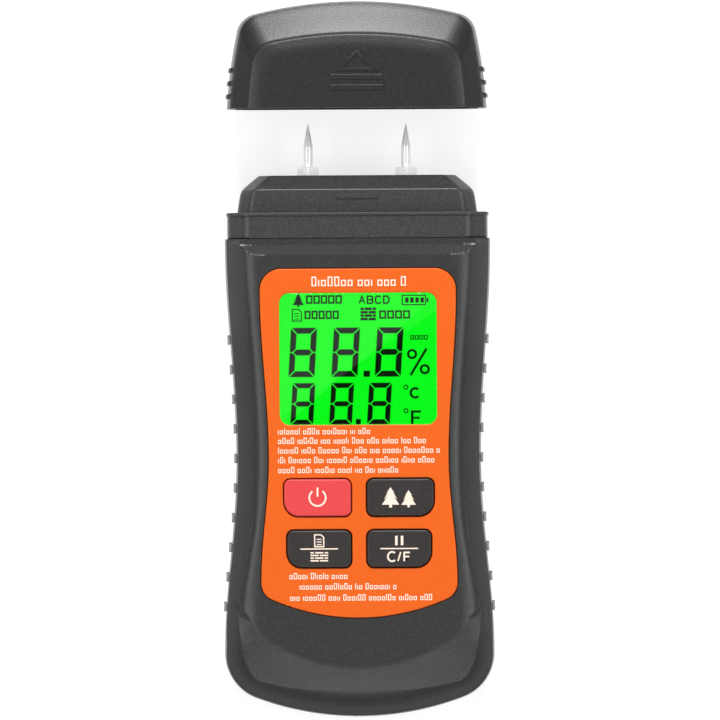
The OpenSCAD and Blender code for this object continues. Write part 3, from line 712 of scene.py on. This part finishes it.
def ring_at(x, y, r, w):
    return lcd_line(arc_at(x, y, r, 0, -360, 25)[:-1], w, True)


def tree(x, y, h, unit):
    """A fir: three tiers and a trunk, its middle at x, y."""
    right = []
    for top, half, low in [(-0.5, 0.22, -0.16), (-0.28, 0.32, 0.10), (-0.06, 0.42, 0.36)]:
        right += [(half * 0.35 if right else 0, top), (half, low)]
    right += [(0.07, 0.36), (0.07, 0.5)]
    return [np.array([unit(x + a * h, y + b * h) for a, b in right + [(-a, b) for a, b in right[:0:-1]]])]


def page(x, y, w, h, unit, t):
    """A sheet with a folded corner and three lines."""
    f = 0.3 * w
    pts = [(-w / 2, -h / 2), (w / 2 - f, -h / 2), (w / 2, -h / 2 + f), (w / 2, h / 2), (-w / 2, h / 2)]
    scale = np.linalg.norm(unit(1, 0) - unit(0, 0))
    out = stroke([unit(x + a, y + b) for a, b in pts], t * scale, True)
    for k in (-0.12, 0.1, 0.32):
        out += stroke([unit(x - w * 0.27, y + k * h), unit(x + w * 0.27, y + k * h)], t * 0.8 * scale)
    return out


def bricks(x, y, w, h, unit, gap):
    """Four courses of bricks."""
    out = []
    course = h / 4
    for r in range(4):
        cuts = [0, 0.5, 1] if r % 2 else [0, 0.25, 0.75, 1]
        for a, b in zip(cuts, cuts[1:]):
            out.append(box_at(unit, x - w / 2 + a * w + gap / 2, y - h / 2 + r * course + gap / 2,
                              x - w / 2 + b * w - gap / 2, y - h / 2 + (r + 1) * course - gap / 2))
    return out


segments = []
for x in (304.8, 347.6, 390.8):
    segments += digit(x, 352.4, 26.0, 49, 5.8)
segments.append(box_at(on_lcd, 365.2, 371, 371.6, 377))
for x in (304.6, 343.2, 380.9):
    segments += digit(x, 403.7, 22.6, 41.4, 5.0)
segments.append(box_at(on_lcd, 357.3, 419, 362.2, 424))
# percent sign
segments += ring_at(413.6, 354.6, 3.9, 2.3) + ring_at(426.2, 369.8, 3.9, 2.3)
segments += lcd_line([(428.0, 349.2), (412.0, 375.6)], 2.4)
# degrees: C and F
segments += ring_at(407.2, 387.6, 1.9, 1.1) + ring_at(407.2, 411.0, 1.9, 1.1)
segments += lcd_line(arc_at(416.6, 393.3, 4.6, 48, 312, 14), 2.3)
segments += [box_at(on_lcd, *corners) for corners in
             ((412.2, 410.8, 414.6, 426), (414.65, 410.8, 422.0, 413.0), (414.65, 417.0, 420.8, 419.1))]
# battery with four bars
segments += lcd_line(frame_points(404.2, 296.2, 427.2, 305.4), 1.1, True)
segments.append(box_at(on_lcd, 428.2, 298.6, 430.2, 303))
for k in range(4):
    segments.append(box_at(on_lcd, 407 + k * 5.1, 298.2, 410.4 + k * 5.1, 303.4))
segments += tree(300.6, 300.4, 13.5, on_lcd)
segments += page(299.2, 315.3, 9, 11.5, on_lcd, 1.1)
segments += bricks(370.2, 314.4, 16, 13.5, on_lcd, 0.75)
# letters of the four groups, as single strokes: points in a unit square, and whether the line is closed
GLYPHS = {
    "A": [([(0, 1), (0.5, 0), (1, 1)], False), ([(0.36, 0.68), (0.64, 0.68)], False)],
    "B": [([(0, 0), (0.7, 0), (0.98, 0.13), (0.98, 0.36), (0.84, 0.5), (1, 0.64), (1, 0.87), (0.72, 1), (0, 1)],
           True), ([(0.2, 0.5), (0.74, 0.5)], False)],
    "C": [([(1, 0.2), (0.75, 0), (0.25, 0), (0, 0.22), (0, 0.78), (0.25, 1), (0.75, 1), (1, 0.8)], False)],
    "D": [([(0, 0), (0.66, 0), (1, 0.3), (1, 0.7), (0.66, 1), (0, 1)], True)]}
for i, glyph in enumerate(GLYPHS.values()):
    for line, closed in glyph:
        segments += lcd_line([(361.4 + i * 8.1 + a * 5.2, 296.8 + b * 7.0) for a, b in line], 1.6, closed)
# blank labels: rows of small frames in place of words (x, y, count, width, height, pitch, line)
for x, y, count, w, h, pitch, line in [
        (309.2, 296.4, 5, 4.8, 6.8, 7.3, 1.7), (307.6, 311.8, 5, 4.4, 6.6, 7.0, 1.7),
        (382.0, 311.8, 4, 5.2, 6.6, 7.9, 1.7), (412.5, 336.4, 4, 2.8, 3.4, 4.5, 1.0)]:
    for k in range(count):
        segments += lcd_line(frame_points(x + k * pitch, y, x + k * pitch + w, y + h), line, True)
segments = clip_low(segments, WINDOW_Y - 15.9)
lcd_marks = slab("display_segments", segments, SEG_Z, SEG_Z + SEG_T)

# ---- printed marks
PRINT_T, PRINT_SUNK = 0.03, 0.01


def greeked(x0, x1, y, h, seed, line):
    """A row of tiny frames and bars in word-like groups, standing for a line of small print."""
    rng = np.random.default_rng(seed)
    out = []
    x = x0
    while x < x1 - h * 0.5:
        for _ in range(rng.integers(3, 8)):
            if x + h * 0.5 > x1:
                break
            tall = rng.random() < 0.25
            low, top = y + h * 0.5, y - h * (0.5 if tall else 0.16)
            if rng.random() < 0.28:
                w = line
                out.append(box_at(on_face, x, top, x + w, low))
            else:
                w, in_ = h * 0.52, line / 2
                corners = frame_points(x + in_, top + in_, x + w - in_, low - in_)
                out += stroke([on_face(*c) for c in corners], line * UNIT, True)
            x += w + h * 0.17
        x += h * 0.36
    return out


prints = greeked(312.5, 406.5, 282.4, 9.6, 3, 1.25)
for row, (y, x1) in enumerate([(431.4, 371), (440.8, 428), (450.4, 441), (460, 436), (469.9, 400)]):
    prints += greeked(278.4, x1, y, 6.2, 20 + row, 0.85)
for row, (y, x0, x1) in enumerate([(575.5, 289, 350), (585.9, 299, 396.5), (597, 289.6, 431)]):
    prints += greeked(x0, x1, y, 6.2, 40 + row, 0.85)
plate_print = slab("plate_print", prints, PLATE_Z - PRINT_SUNK, PLATE_Z + PRINT_T)


def on_key(node):
    return layout(0, 0, 1, *middle_of(node))


def bar_across(unit):
    return stroke([unit(-4.6, 0), unit(4.6, 0)], 0.3)


u = on_key("power_key")
power_icon = stroke([u(*p) for p in arc_at(0, 0, 2.0, 52, -232, 30)], 0.42) + stroke([u(0, -2.5), u(0, -0.25)], 0.42)
u = on_key("wood_key")
wood_icon = tree(-2.4, 0, 5.0, u) + tree(2.0, 0.35, 4.2, u)
u = on_key("paper_wall_key")
paper_icon = page(0, -2.0, 2.2, 2.9, u, 0.3) + bar_across(u) + bricks(0, 1.9, 4.6, 2.6, u, 0.3)
u = on_key("hold_key")
letter_c = [u(-1.75 + 1.05 * math.cos(t), 1.95 - 1.15 * math.sin(t)) for t in np.radians(np.linspace(48, 312, 14))]
hold_icon = [box_at(u, x, -3.1, x + 0.62, -0.8) for x in (-1.0, 0.38)] + bar_across(u)
hold_icon += stroke(letter_c, 0.42) + stroke([u(0.35, 0.85), u(-0.35, 3.05)], 0.36)
hold_icon += stroke([u(2.6, 0.98), u(1.2, 0.98), u(1.2, 3.1)], 0.42) + stroke([u(1.4, 1.98), u(2.4, 1.98)], 0.4)
key_marks = {}
for k, outlines in zip(KEYS, (power_icon, wood_icon, paper_icon, hold_icon)):
    key_top = node_mm(k)[1][2]
    key_marks[k] = slab(k + "_mark", outlines, key_top - PRINT_SUNK, key_top + PRINT_T)

# ---- pulled-off cap
CAP_W, CAP_END_R, CAP_FLANK_R, CAP_LEAN, CAP_CORNER_H = 31.85, 104.0, 125.0, 0.06, 7.3


def cap_inset(h):
    """How far the cap's flank has come in at a height h above the mouth."""
    return CAP_LEAN * h + h * h / (2 * CAP_FLANK_R)


def cap_outline(side, top, n_flank=46, n_corner=34, n_end=60):
    """The cap's outline, smaller by side at its flanks and by top at its end."""
    h = CAP_LEN - top - CAP_CORNER_H
    lean = math.atan(CAP_LEAN + h / CAP_FLANK_R)
    corner = np.array([CAP_W - side - cap_inset(h), CAP_END_R - CAP_CORNER_H])
    way = np.array([math.cos(lean), math.sin(lean)])
    r = (CAP_END_R ** 2 - corner @ corner) / (2 * (CAP_END_R - corner @ way))
    centre = corner - r * way
    sweep = math.degrees(math.atan2(centre[1], centre[0]))
    end = np.array([0, MOUTH_Y + CAP_LEN - top - CAP_END_R])
    k = np.linspace(0, h, n_flank)
    return both_halves(np.concatenate([
        np.column_stack([CAP_W - side - cap_inset(k), MOUTH_Y + k]),
        arc(end + centre, r, math.degrees(lean), sweep, n_corner)[1:],
        arc(end, CAP_END_R, sweep, 90, n_end)[1:]]))


# Edge of the cap from its middle to the panel: inset at the flanks, inset at the end, height
CAP_EDGE = np.array([
    (0, 0, 0), (0.05, 0.03, 1.6), (0.26, 0.2, 3.6), (0.36, 0.3, 5.2), (0.46, 0.4, 6.5), (0.62, 0.5, 7.3),
    (0.76, 0.62, 7.82), (0.85, 0.74, 8.05), (1.02, 1.25, 8.34), (2.0, 3.0, 9.2), (3.08, 4.9, 10.15),
    (3.92, 6.4, 10.88), (4.36, 7.2, 11.26), (4.72, 7.85, 11.56), (5.24, 8.3, 12.0), (5.30, 8.38, 12.06),
    (5.38, 8.6, 12.12), (6.1, 9.4, 12.27), (7.0, 10.2, 12.42), (7.9, 11.0, 12.53), (8.8, 11.8, 12.59),
    (9.4, 12.4, 12.6)])


def cap_ring(side, top, z):
    return across_seam(at_height(cap_outline(side, top), z))


def fan(ring, n_strips=24):
    """A flat patch inside a ring of the cap: rows that shrink towards the middle of the mouth."""
    mid = np.array([0, MOUTH_Y])
    return [at_height(mid + (ring[:, :2] - mid) * max(k, 0.0005), ring[:, 2])
            for k in np.linspace(1, 0, n_strips)[1:]]


# The rows of the cap's edge, with one halfway between each two
edge_rows = rows_at(np.arange(0, len(CAP_EDGE) - 0.5, 0.5), np.arange(len(CAP_EDGE)), CAP_EDGE)
cap_rings = [cap_ring(side, top, MID_Z + z) for side, top, z in edge_rows[::-1]]
cap_rings += [cap_ring(side, top, MID_Z - z) for side, top, z in edge_rows[1:]]
cap_rings = fan(cap_rings[0])[::-1] + cap_rings + fan(cap_rings[-1])
cap_shell = loft("cap_shell", cap_rings, angle=28)


def neck_cavity(half_w, low, high, y0, y1, corner):
    """A closed block with cut corners that narrows towards its inner end, for taking away from the cap."""
    right = [(half_w - corner, low), (half_w, low + corner), (half_w, high - corner), (half_w - corner, high)]
    section = np.array(right + [(-x, z) for x, z in right[::-1]])
    rows = [(y, section * [w, 1]) for y, w in ((y0, 1.0), (y1 - 3.7, 0.977), (y1, 0.83))]
    rows[-1][1][:, 1] = MID_Z + (section[:, 1] - MID_Z) * 0.66
    return along_y("cavity_neck", rows)


def take_away(obj, *cutters):
    """Cuts the cutters out of an object and removes them."""
    for c in cutters:
        modify(obj, "BOOLEAN", operation="DIFFERENCE", object=c, solver="EXACT")
    shade(applied(obj), 28)
    for c in cutters:
        bpy.data.objects.remove(c)


def block(name, half_w, y, low):
    """A plain block between two places along Y, from low to as far below COLLAR_Z."""
    verts = [(a, b, c) for a in (-half_w, half_w) for b in y for c in (low, COLLAR_Z - low)]
    faces = [(0, 1, 3, 2), (4, 6, 7, 5), (0, 4, 5, 1), (2, 3, 7, 6), (0, 2, 6, 4), (1, 5, 7, 3)]
    return new_object(name, verts, faces)


# Hollow of the cap: for the neck, then for the nuts, then for the pins
take_away(cap_shell, neck_cavity(29.85, 2.05, COLLAR_Z - 2.05, MOUTH_Y - 1, MOUTH_Y + 9.65, 3.2),
          block("cavity_mid", 21, (MOUTH_Y + 9.1, MOUTH_Y + 17.6), 7.2),
          block("cavity_end", 15.6, (MOUTH_Y + 17.5, MOUTH_Y + 23.2), 9))

# Raised marks: a triangular frame over two bars
triangles = [np.array(points) + [0, MOUTH_Y] for points in
             ([(-4.9, 9.0), (4.9, 9.0), (0, 14.1)], [(-3.3, 9.72), (3.3, 9.72), (0, 13.05)])]
bars = [rounded_rect(0, MOUTH_Y + h, 12.9, 1.3, 0.2, 3) for h in (5.0, 7.55)]
cap_marks = slab("cap_relief", triangles + bars, COLLAR_Z - 0.3, COLLAR_Z + 0.3, 0.14, 3)

CAP_RIB_L, CAP_RIB_OUT = 1.24, 0.5


def cap_rib(side, h):
    path = [(0.62, 4.6), (0.3, 5.2), (0.12, 7.2), (0.0, 10.5), (0.0, 14.7), (0.12, 18.0), (0.3, 20.0), (0.62, 20.7)]
    across = np.linspace(-CAP_RIB_L / 2, CAP_RIB_L / 2, 9)
    return grip_bar(side, path, 22, across, 0.3, CAP_RIB_OUT, 0, 1.2,
                    lambda a: (CAP_W - cap_inset(h + a), MOUTH_Y + h + a))


cap_ribs = join("cap_grip_ribs", [cap_rib(side, h) for h in (3.0, 6.2, 9.4) for side in (-1, 1)], angle=50)

# ---- pins and nuts
PIN_R, PIN_OUT, CONE_L, NUT_H, PIN_X = 1.2, 12.6, 5.6, 2.1, 12


def lathe(name, profile, x, y0, z, n=64):
    """A turned piece along Y from x, y0, z. profile is a list of (radius, y)."""
    a = np.linspace(0, 2 * np.pi, n, endpoint=False)
    rings_ = [np.column_stack([x + r * np.cos(a), np.full(n, y0 + y), z + r * np.sin(a)]) for r, y in profile]
    return loft(name, rings_, angle=30)


pin_foot = [(0.002, -8), (0.8, -8), (0.8, NUT_H - 0.1), (1.05, NUT_H), (1.15, NUT_H + 0.05), (PIN_R, NUT_H + 0.2)]
pin_cone = [(PIN_R * (1 - k ** 1.15) + 0.06 * k, PIN_OUT - CONE_L + CONE_L * k) for k in np.linspace(0, 1, 40)]
pin_tip = [(0.03, PIN_OUT + 0.03), (0.001, PIN_OUT + 0.035)]
pins = {}
for side, who in ((-1, "left"), (1, "right")):
    pins[who + "_pin"] = lathe(who + "_probe_pin", pin_foot + pin_cone + pin_tip, side * PIN_X, NECK_Y, MID_Z)
    pins[who + "_pin_nut"] = rounded_copy(who + "_pin_nut", who + "_hex_nut", 0.12, 25)

# ---- materials


def new_material(name):
    """A material with its node tree and its shader."""
    mat = bpy.data.materials.new(name)
    mat.use_nodes = True
    return mat, mat.node_tree, mat.node_tree.nodes["Principled BSDF"]


def set_inputs(node, values):
    """Sets inputs, each to a value or to another node's output."""
    for k, v in values.items():
        if isinstance(v, bpy.types.NodeSocket):
            node.id_data.links.new(v, node.inputs[k])
        else:
            node.inputs[k].default_value = v


def add_node(t, kind, values):
    node = t.nodes.new("ShaderNode" + kind)
    set_inputs(node, values)
    return node


def noise(t, scale, detail=4.0, rough=0.55):
    """Fine noise in a piece's own coordinates."""
    coord = t.nodes.get("coord") or t.nodes.new("ShaderNodeTexCoord")
    coord.name = "coord"
    return add_node(t, "TexNoise", {"Scale": scale, "Detail": detail, "Roughness": rough,
                                    "Vector": coord.outputs["Object"]}).outputs[0]


def remap(t, value, low, high, to_low, to_high):
    return add_node(t, "MapRange", {"Value": value, "From Min": low, "From Max": high,
                                    "To Min": to_low, "To Max": to_high}).outputs["Result"]


def tint(t, value, stops, interpolation="LINEAR"):
    """A colour from a value, through stops of (place, colour)."""
    node = add_node(t, "ValToRGB", {"Fac": value})
    node.color_ramp.interpolation = interpolation
    elements = node.color_ramp.elements
    for k, (at, color) in enumerate(stops):
        stop = elements[k] if k < 2 else elements.new(at)
        stop.position = at
        stop.color = (*color, 1)
    return node.outputs["Color"]


def finish_of(name, color, rough, metallic=0.0, grain=0.006, grain_scale=2600, vary=0.12, speck=0.0, specular=0.5,
              coat=0.0, rough_scale=900, emission=None):
    """A plain finish whose roughness, colour and surface vary with fine procedural grain."""
    mat, t, p = new_material(name)
    set_inputs(p, {"Metallic": metallic, "Specular IOR Level": specular})
    if coat:
        set_inputs(p, {"Coat Weight": coat, "Coat Roughness": 0.08})
    fine = noise(t, grain_scale, 2.0, 0.6)
    c = np.array(color)
    stops = [(0, c * (1 - speck)), (1, np.minimum(c * (1 + speck), 1))]
    set_inputs(p, {"Base Color": tint(t, remap(t, fine, 0.38, 0.66, 0, 1), stops) if speck else (*color, 1),
                   "Roughness": remap(t, noise(t, rough_scale), 0.25, 0.75, rough - vary / 2, rough + vary / 2)})
    bump = add_node(t, "Bump", {"Strength": 1.0, "Distance": grain * MM, "Height": fine})
    set_inputs(p, {"Normal": bump.outputs["Normal"]})
    if emission:
        set_inputs(p, {"Emission Color": (*emission[0], 1), "Emission Strength": emission[1]})
    return mat


TEXTURE = dict(grain=0.03, grain_scale=2400, vary=0.04, rough_scale=2600, speck=0.35)
FINISHES = [     # name, colour, roughness, further values
    ("charcoal_case", (0.021, 0.0213, 0.0215), 0.38, TEXTURE),
    ("charcoal_cap", (0.013, 0.0135, 0.0145), 0.36, TEXTURE),
    ("charcoal_head", (0.030, 0.031, 0.032), 0.4, TEXTURE),
    ("orange_panel", (0.66, 0.100, 0.004), 0.40, dict(speck=0.05, specular=0.3)),
    ("dark_key_satin", (0.018, 0.014, 0.014), 0.42, dict(speck=0.12)),
    ("red_key_satin", (0.62, 0.042, 0.046), 0.42, dict(speck=0.05)),
    ("white_print_ink", (0.80, 0.66, 0.55), 0.5, dict(grain=0.004, speck=0.03)),
    ("segment_ink", (0.002, 0.010, 0.002), 0.5, dict(grain=0.002, speck=0.1, specular=0.05)),
    ("polished_steel", (0.92, 0.93, 0.94), 0.3, dict(metallic=0.45, grain=0.002, grain_scale=900, vary=0.08)),
    ("nut_steel", (0.92, 0.93, 0.94), 0.25, dict(metallic=0.35, grain=0.001, grain_scale=900, vary=0.1)),
    ("zinc_screw", (0.42, 0.42, 0.44), 0.35, dict(metallic=1.0, grain=0.01, grain_scale=1500)),
    ("nickel_spring", (0.62, 0.61, 0.6), 0.28, dict(metallic=1.0, grain_scale=1500)),
    ("turned_brass", (0.72, 0.48, 0.16), 0.3, dict(metallic=1.0, grain_scale=1500)),
    ("black_tape", (0.008, 0.008, 0.01), 0.75, dict(grain=0.02, grain_scale=1200, speck=0.2)),
    ("acrylic_guide", (0.84, 0.88, 0.84), 0.15, dict(grain=0.004, grain_scale=700, speck=0.03, coat=0.3)),
    ("white_plastic", (0.78, 0.78, 0.75), 0.45, dict(grain=0.01, speck=0.05)),
    ("zebra_rubber", (0.12, 0.12, 0.13), 0.8, dict(grain=0.015, speck=0.2)),
    ("led_epoxy", (0.9, 0.82, 0.42), 0.2, dict(grain=0.004, speck=0.08, coat=0.5)),
    ("solder_mask", (0.01, 0.13, 0.05), 0.3, dict(grain=0.012, grain_scale=700, speck=0.25, coat=0.4)),
    ("moulded_chip", (0.014, 0.014, 0.015), 0.55, dict(grain=0.012, speck=0.25)),
    ("epoxy_bead", (0.2, 0.07, 0.02), 0.18, dict(grain=0.004, speck=0.1, coat=0.5)),
    ("wire_sleeve", (0.6, 0.03, 0.02), 0.45, dict(speck=0.08)),
    ("silicone_dome", (0.3, 0.3, 0.32), 0.6, dict(grain=0.01, speck=0.1)),
    ("cell_sleeve", (0.035, 0.16, 0.46), 0.25, dict(grain=0.004, grain_scale=500, vary=0.06, coat=0.4))]
finish = {name: finish_of(name, color, rough, **more) for name, color, rough, more in FINISHES}

t = finish["cell_sleeve"].node_tree
split = add_node(t, "SeparateXYZ", {"Vector": t.nodes["coord"].outputs["Object"]})
cell_low, cell_high = node_mm("left_cell")
along_cell = remap(t, split.outputs["Y"], cell_low[1] * MM, cell_high[1] * MM, 0, 1)
bands = [(0.0, (0.62, 0.62, 0.63)), (0.035, (0.035, 0.16, 0.46)), (0.66, (0.75, 0.76, 0.78)),
         (0.69, (0.68, 0.16, 0.03)), (0.955, (0.62, 0.62, 0.63))]
set_inputs(t.nodes["Principled BSDF"], {"Base Color": tint(t, along_cell, bands, "CONSTANT")})

finish["clear_window"], t, p = new_material("clear_window")
set_inputs(p, {"Base Color": (0.97, 1.0, 0.97, 1), "Transmission Weight": 1.0, "IOR": 1.46,
               "Roughness": remap(t, noise(t, 300), 0.3, 0.7, 0.0, 0.008)})

finish["lit_display"], t, p = new_material("lit_display")
lit = tint(t, noise(t, 35, 1.0), [(0, (0.0, 0.90, 0.004)), (1, (0.002, 1.0, 0.012))])
set_inputs(p, {"Base Color": (0.0, 0.05, 0.002, 1), "Specular IOR Level": 0.1, "Emission Strength": 1.0,
               "Emission Color": lit, "Roughness": remap(t, noise(t, 1500), 0.3, 0.7, 0.3, 0.4)})

# ---- pieces on their bodies


def place(obj, material, body, stands_for=()):
    """Gives a piece its material and its body, and hides the CAD nodes that it stands for."""
    obj.data.materials.clear()
    obj.data.materials.append(finish[material])
    if stands_for:
        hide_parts(*stands_for)
    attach(obj, body)


place(front, "charcoal_case", "case", ["front_shell"])
place(rear, "charcoal_case", "case", ["rear_shell"])
place(ribs, "charcoal_case", "case")
place(head, "charcoal_head", "case", ["probe_head"])
place(plate, "orange_panel", "case", ["face_plate"])
place(plate_print, "white_print_ink", "case")
place(lens, "clear_window", "case", ["display_lens"])
place(lcd_marks, "segment_ink", "case")
place(cap_shell, "charcoal_cap", "cap", ["cap"])
place(cap_marks, "charcoal_cap", "cap")
place(cap_ribs, "charcoal_cap", "cap")
place(door, "charcoal_case", "battery_door", ["battery_door"])
for k, obj in key_objects.items():
    place(obj, KEYS[k] + "_satin", k, [k])
    place(key_marks[k], "white_print_ink", k)
for k, obj in pins.items():
    nut = k.endswith("nut")
    place(obj, "nut_steel" if nut else "polished_steel", "case", [k])

# CAD pieces that stay, by their materials
KEPT = {
    "black_tape": "lens_tape", "lit_display": "lcd_glass", "acrylic_guide": "light_guide",
    "white_plastic": "lcd_frame", "zebra_rubber": "zebra_strip", "led_epoxy": "backlight_leds",
    "solder_mask": "main_board", "moulded_chip": "board_chips", "epoxy_bead": "thermistor",
    "turned_brass": "left_socket right_socket",
    "wire_sleeve": "probe_leads battery_leads", "cell_sleeve": "left_cell middle_cell right_cell",
    "nickel_spring": "battery_springs battery_plates", "zinc_screw": "case_screws board_screws",
    "silicone_dome": "power_dome wood_dome paper_wall_dome hold_dome"}
for material, kept in KEPT.items():
    for name in kept.split():
        for i in range(len(nodes[name].data.materials)):
            nodes[name].data.materials[i] = finish[material]

# ---- floor, lights, camera
floor_mat = finish_of("pale_floor", (0.45, 0.45, 0.45), 0.85, grain=0.02, grain_scale=150, speck=0.01, specular=0.1,
                      emission=((1, 1, 1), 0.7))
bpy.ops.mesh.primitive_plane_add(size=8)
floor = bpy.context.object
floor.name = "floor"
floor.data.materials.append(floor_mat)

world = bpy.data.worlds.new("studio")
bpy.context.scene.world = world
world.use_nodes = True
set_inputs(world.node_tree.nodes["Background"], {"Color": (1, 1, 1, 1), "Strength": 0.2})

LIGHT_AWAY = 1.6
# name, angle off the vertical, direction it comes from, width, height, power
LIGHTS = [("light_far", 49, 90, 0.6, 0.5, 26), ("light_near", 40, 270, 1.4, 0.5, 7.5),
          ("light_left", 35, 180, 0.9, 0.6, 7), ("light_right", 35, 0, 0.9, 0.6, 7)]
for name, off, azimuth, w, h, power in LIGHTS:
    data = bpy.data.lights.new(name, "AREA")
    data.shape = "RECTANGLE"
    data.size, data.size_y = w, h
    data.energy = power
    off, azimuth = math.radians(off), math.radians(azimuth)
    way = Vector((math.sin(off) * math.cos(azimuth), math.sin(off) * math.sin(azimuth), math.cos(off)))
    lamp = linked(name, data)
    lamp.location = way * LIGHT_AWAY
    lamp.rotation_euler = (-way).to_track_quat("-Z", "Y").to_euler()

# The camera looks straight down. FRAME_MM is the width of the picture at mid-height
CAMERA_H, FRAME_MM, TURN, SENSOR = 3.0, 176.4, 0.335, 36
camera_data = bpy.data.cameras.new("camera")
camera_data.sensor_width = SENSOR
camera_data.lens = SENSOR * (CAMERA_H - MID_Z * MM) / (FRAME_MM * MM)
camera_data.clip_end = 20
camera = linked("camera", camera_data)
camera.location = Vector((0.45 * MM, -0.3 * MM, CAMERA_H))
camera.rotation_euler = (0, 0, math.radians(-TURN))
bpy.context.scene.camera = camera

# A dim card high above, whose straight edge is mirrored across the window, and a black one on its other side
CARD_Z, CARD_PAST_END = 4.6, 0.2
EDGE_IN_LAYOUT = ((282.0, 423.6), (470.0, 275.4))
grow = 1 + (CARD_Z - lens_high[2] * MM) / (CAMERA_H - lens_high[2] * MM)
start, end = [np.array([(x - 359.5) * UNIT, (359.5 - y) * UNIT]) * grow * MM for x, y in EDGE_IN_LAYOUT]
along = (end - start) / np.linalg.norm(end - start)
left = np.array([-along[1], along[0]])
a, b = start - along * CARD_PAST_END, end + along * CARD_PAST_END
for card_name, reach, glow in (("reflected_card", 0.4, 0.42), ("reflected_flag", -0.4, 0.0)):
    corners = (a, b, b + left * reach, a + left * reach)
    card = new_object(card_name, [(*(c / MM), CARD_Z / MM) for c in corners], [(0, 1, 2, 3)])
    card_mat, t, p = new_material(card_name)
    set_inputs(p, {"Base Color": (0, 0, 0, 1), "Roughness": 1.0, "Specular IOR Level": 0.0,
                   "Emission Color": (1, 1, 1, 1), "Emission Strength": glow})
    card.data.materials.append(card_mat)

bpy.context.scene.view_settings.view_transform = "Standard"
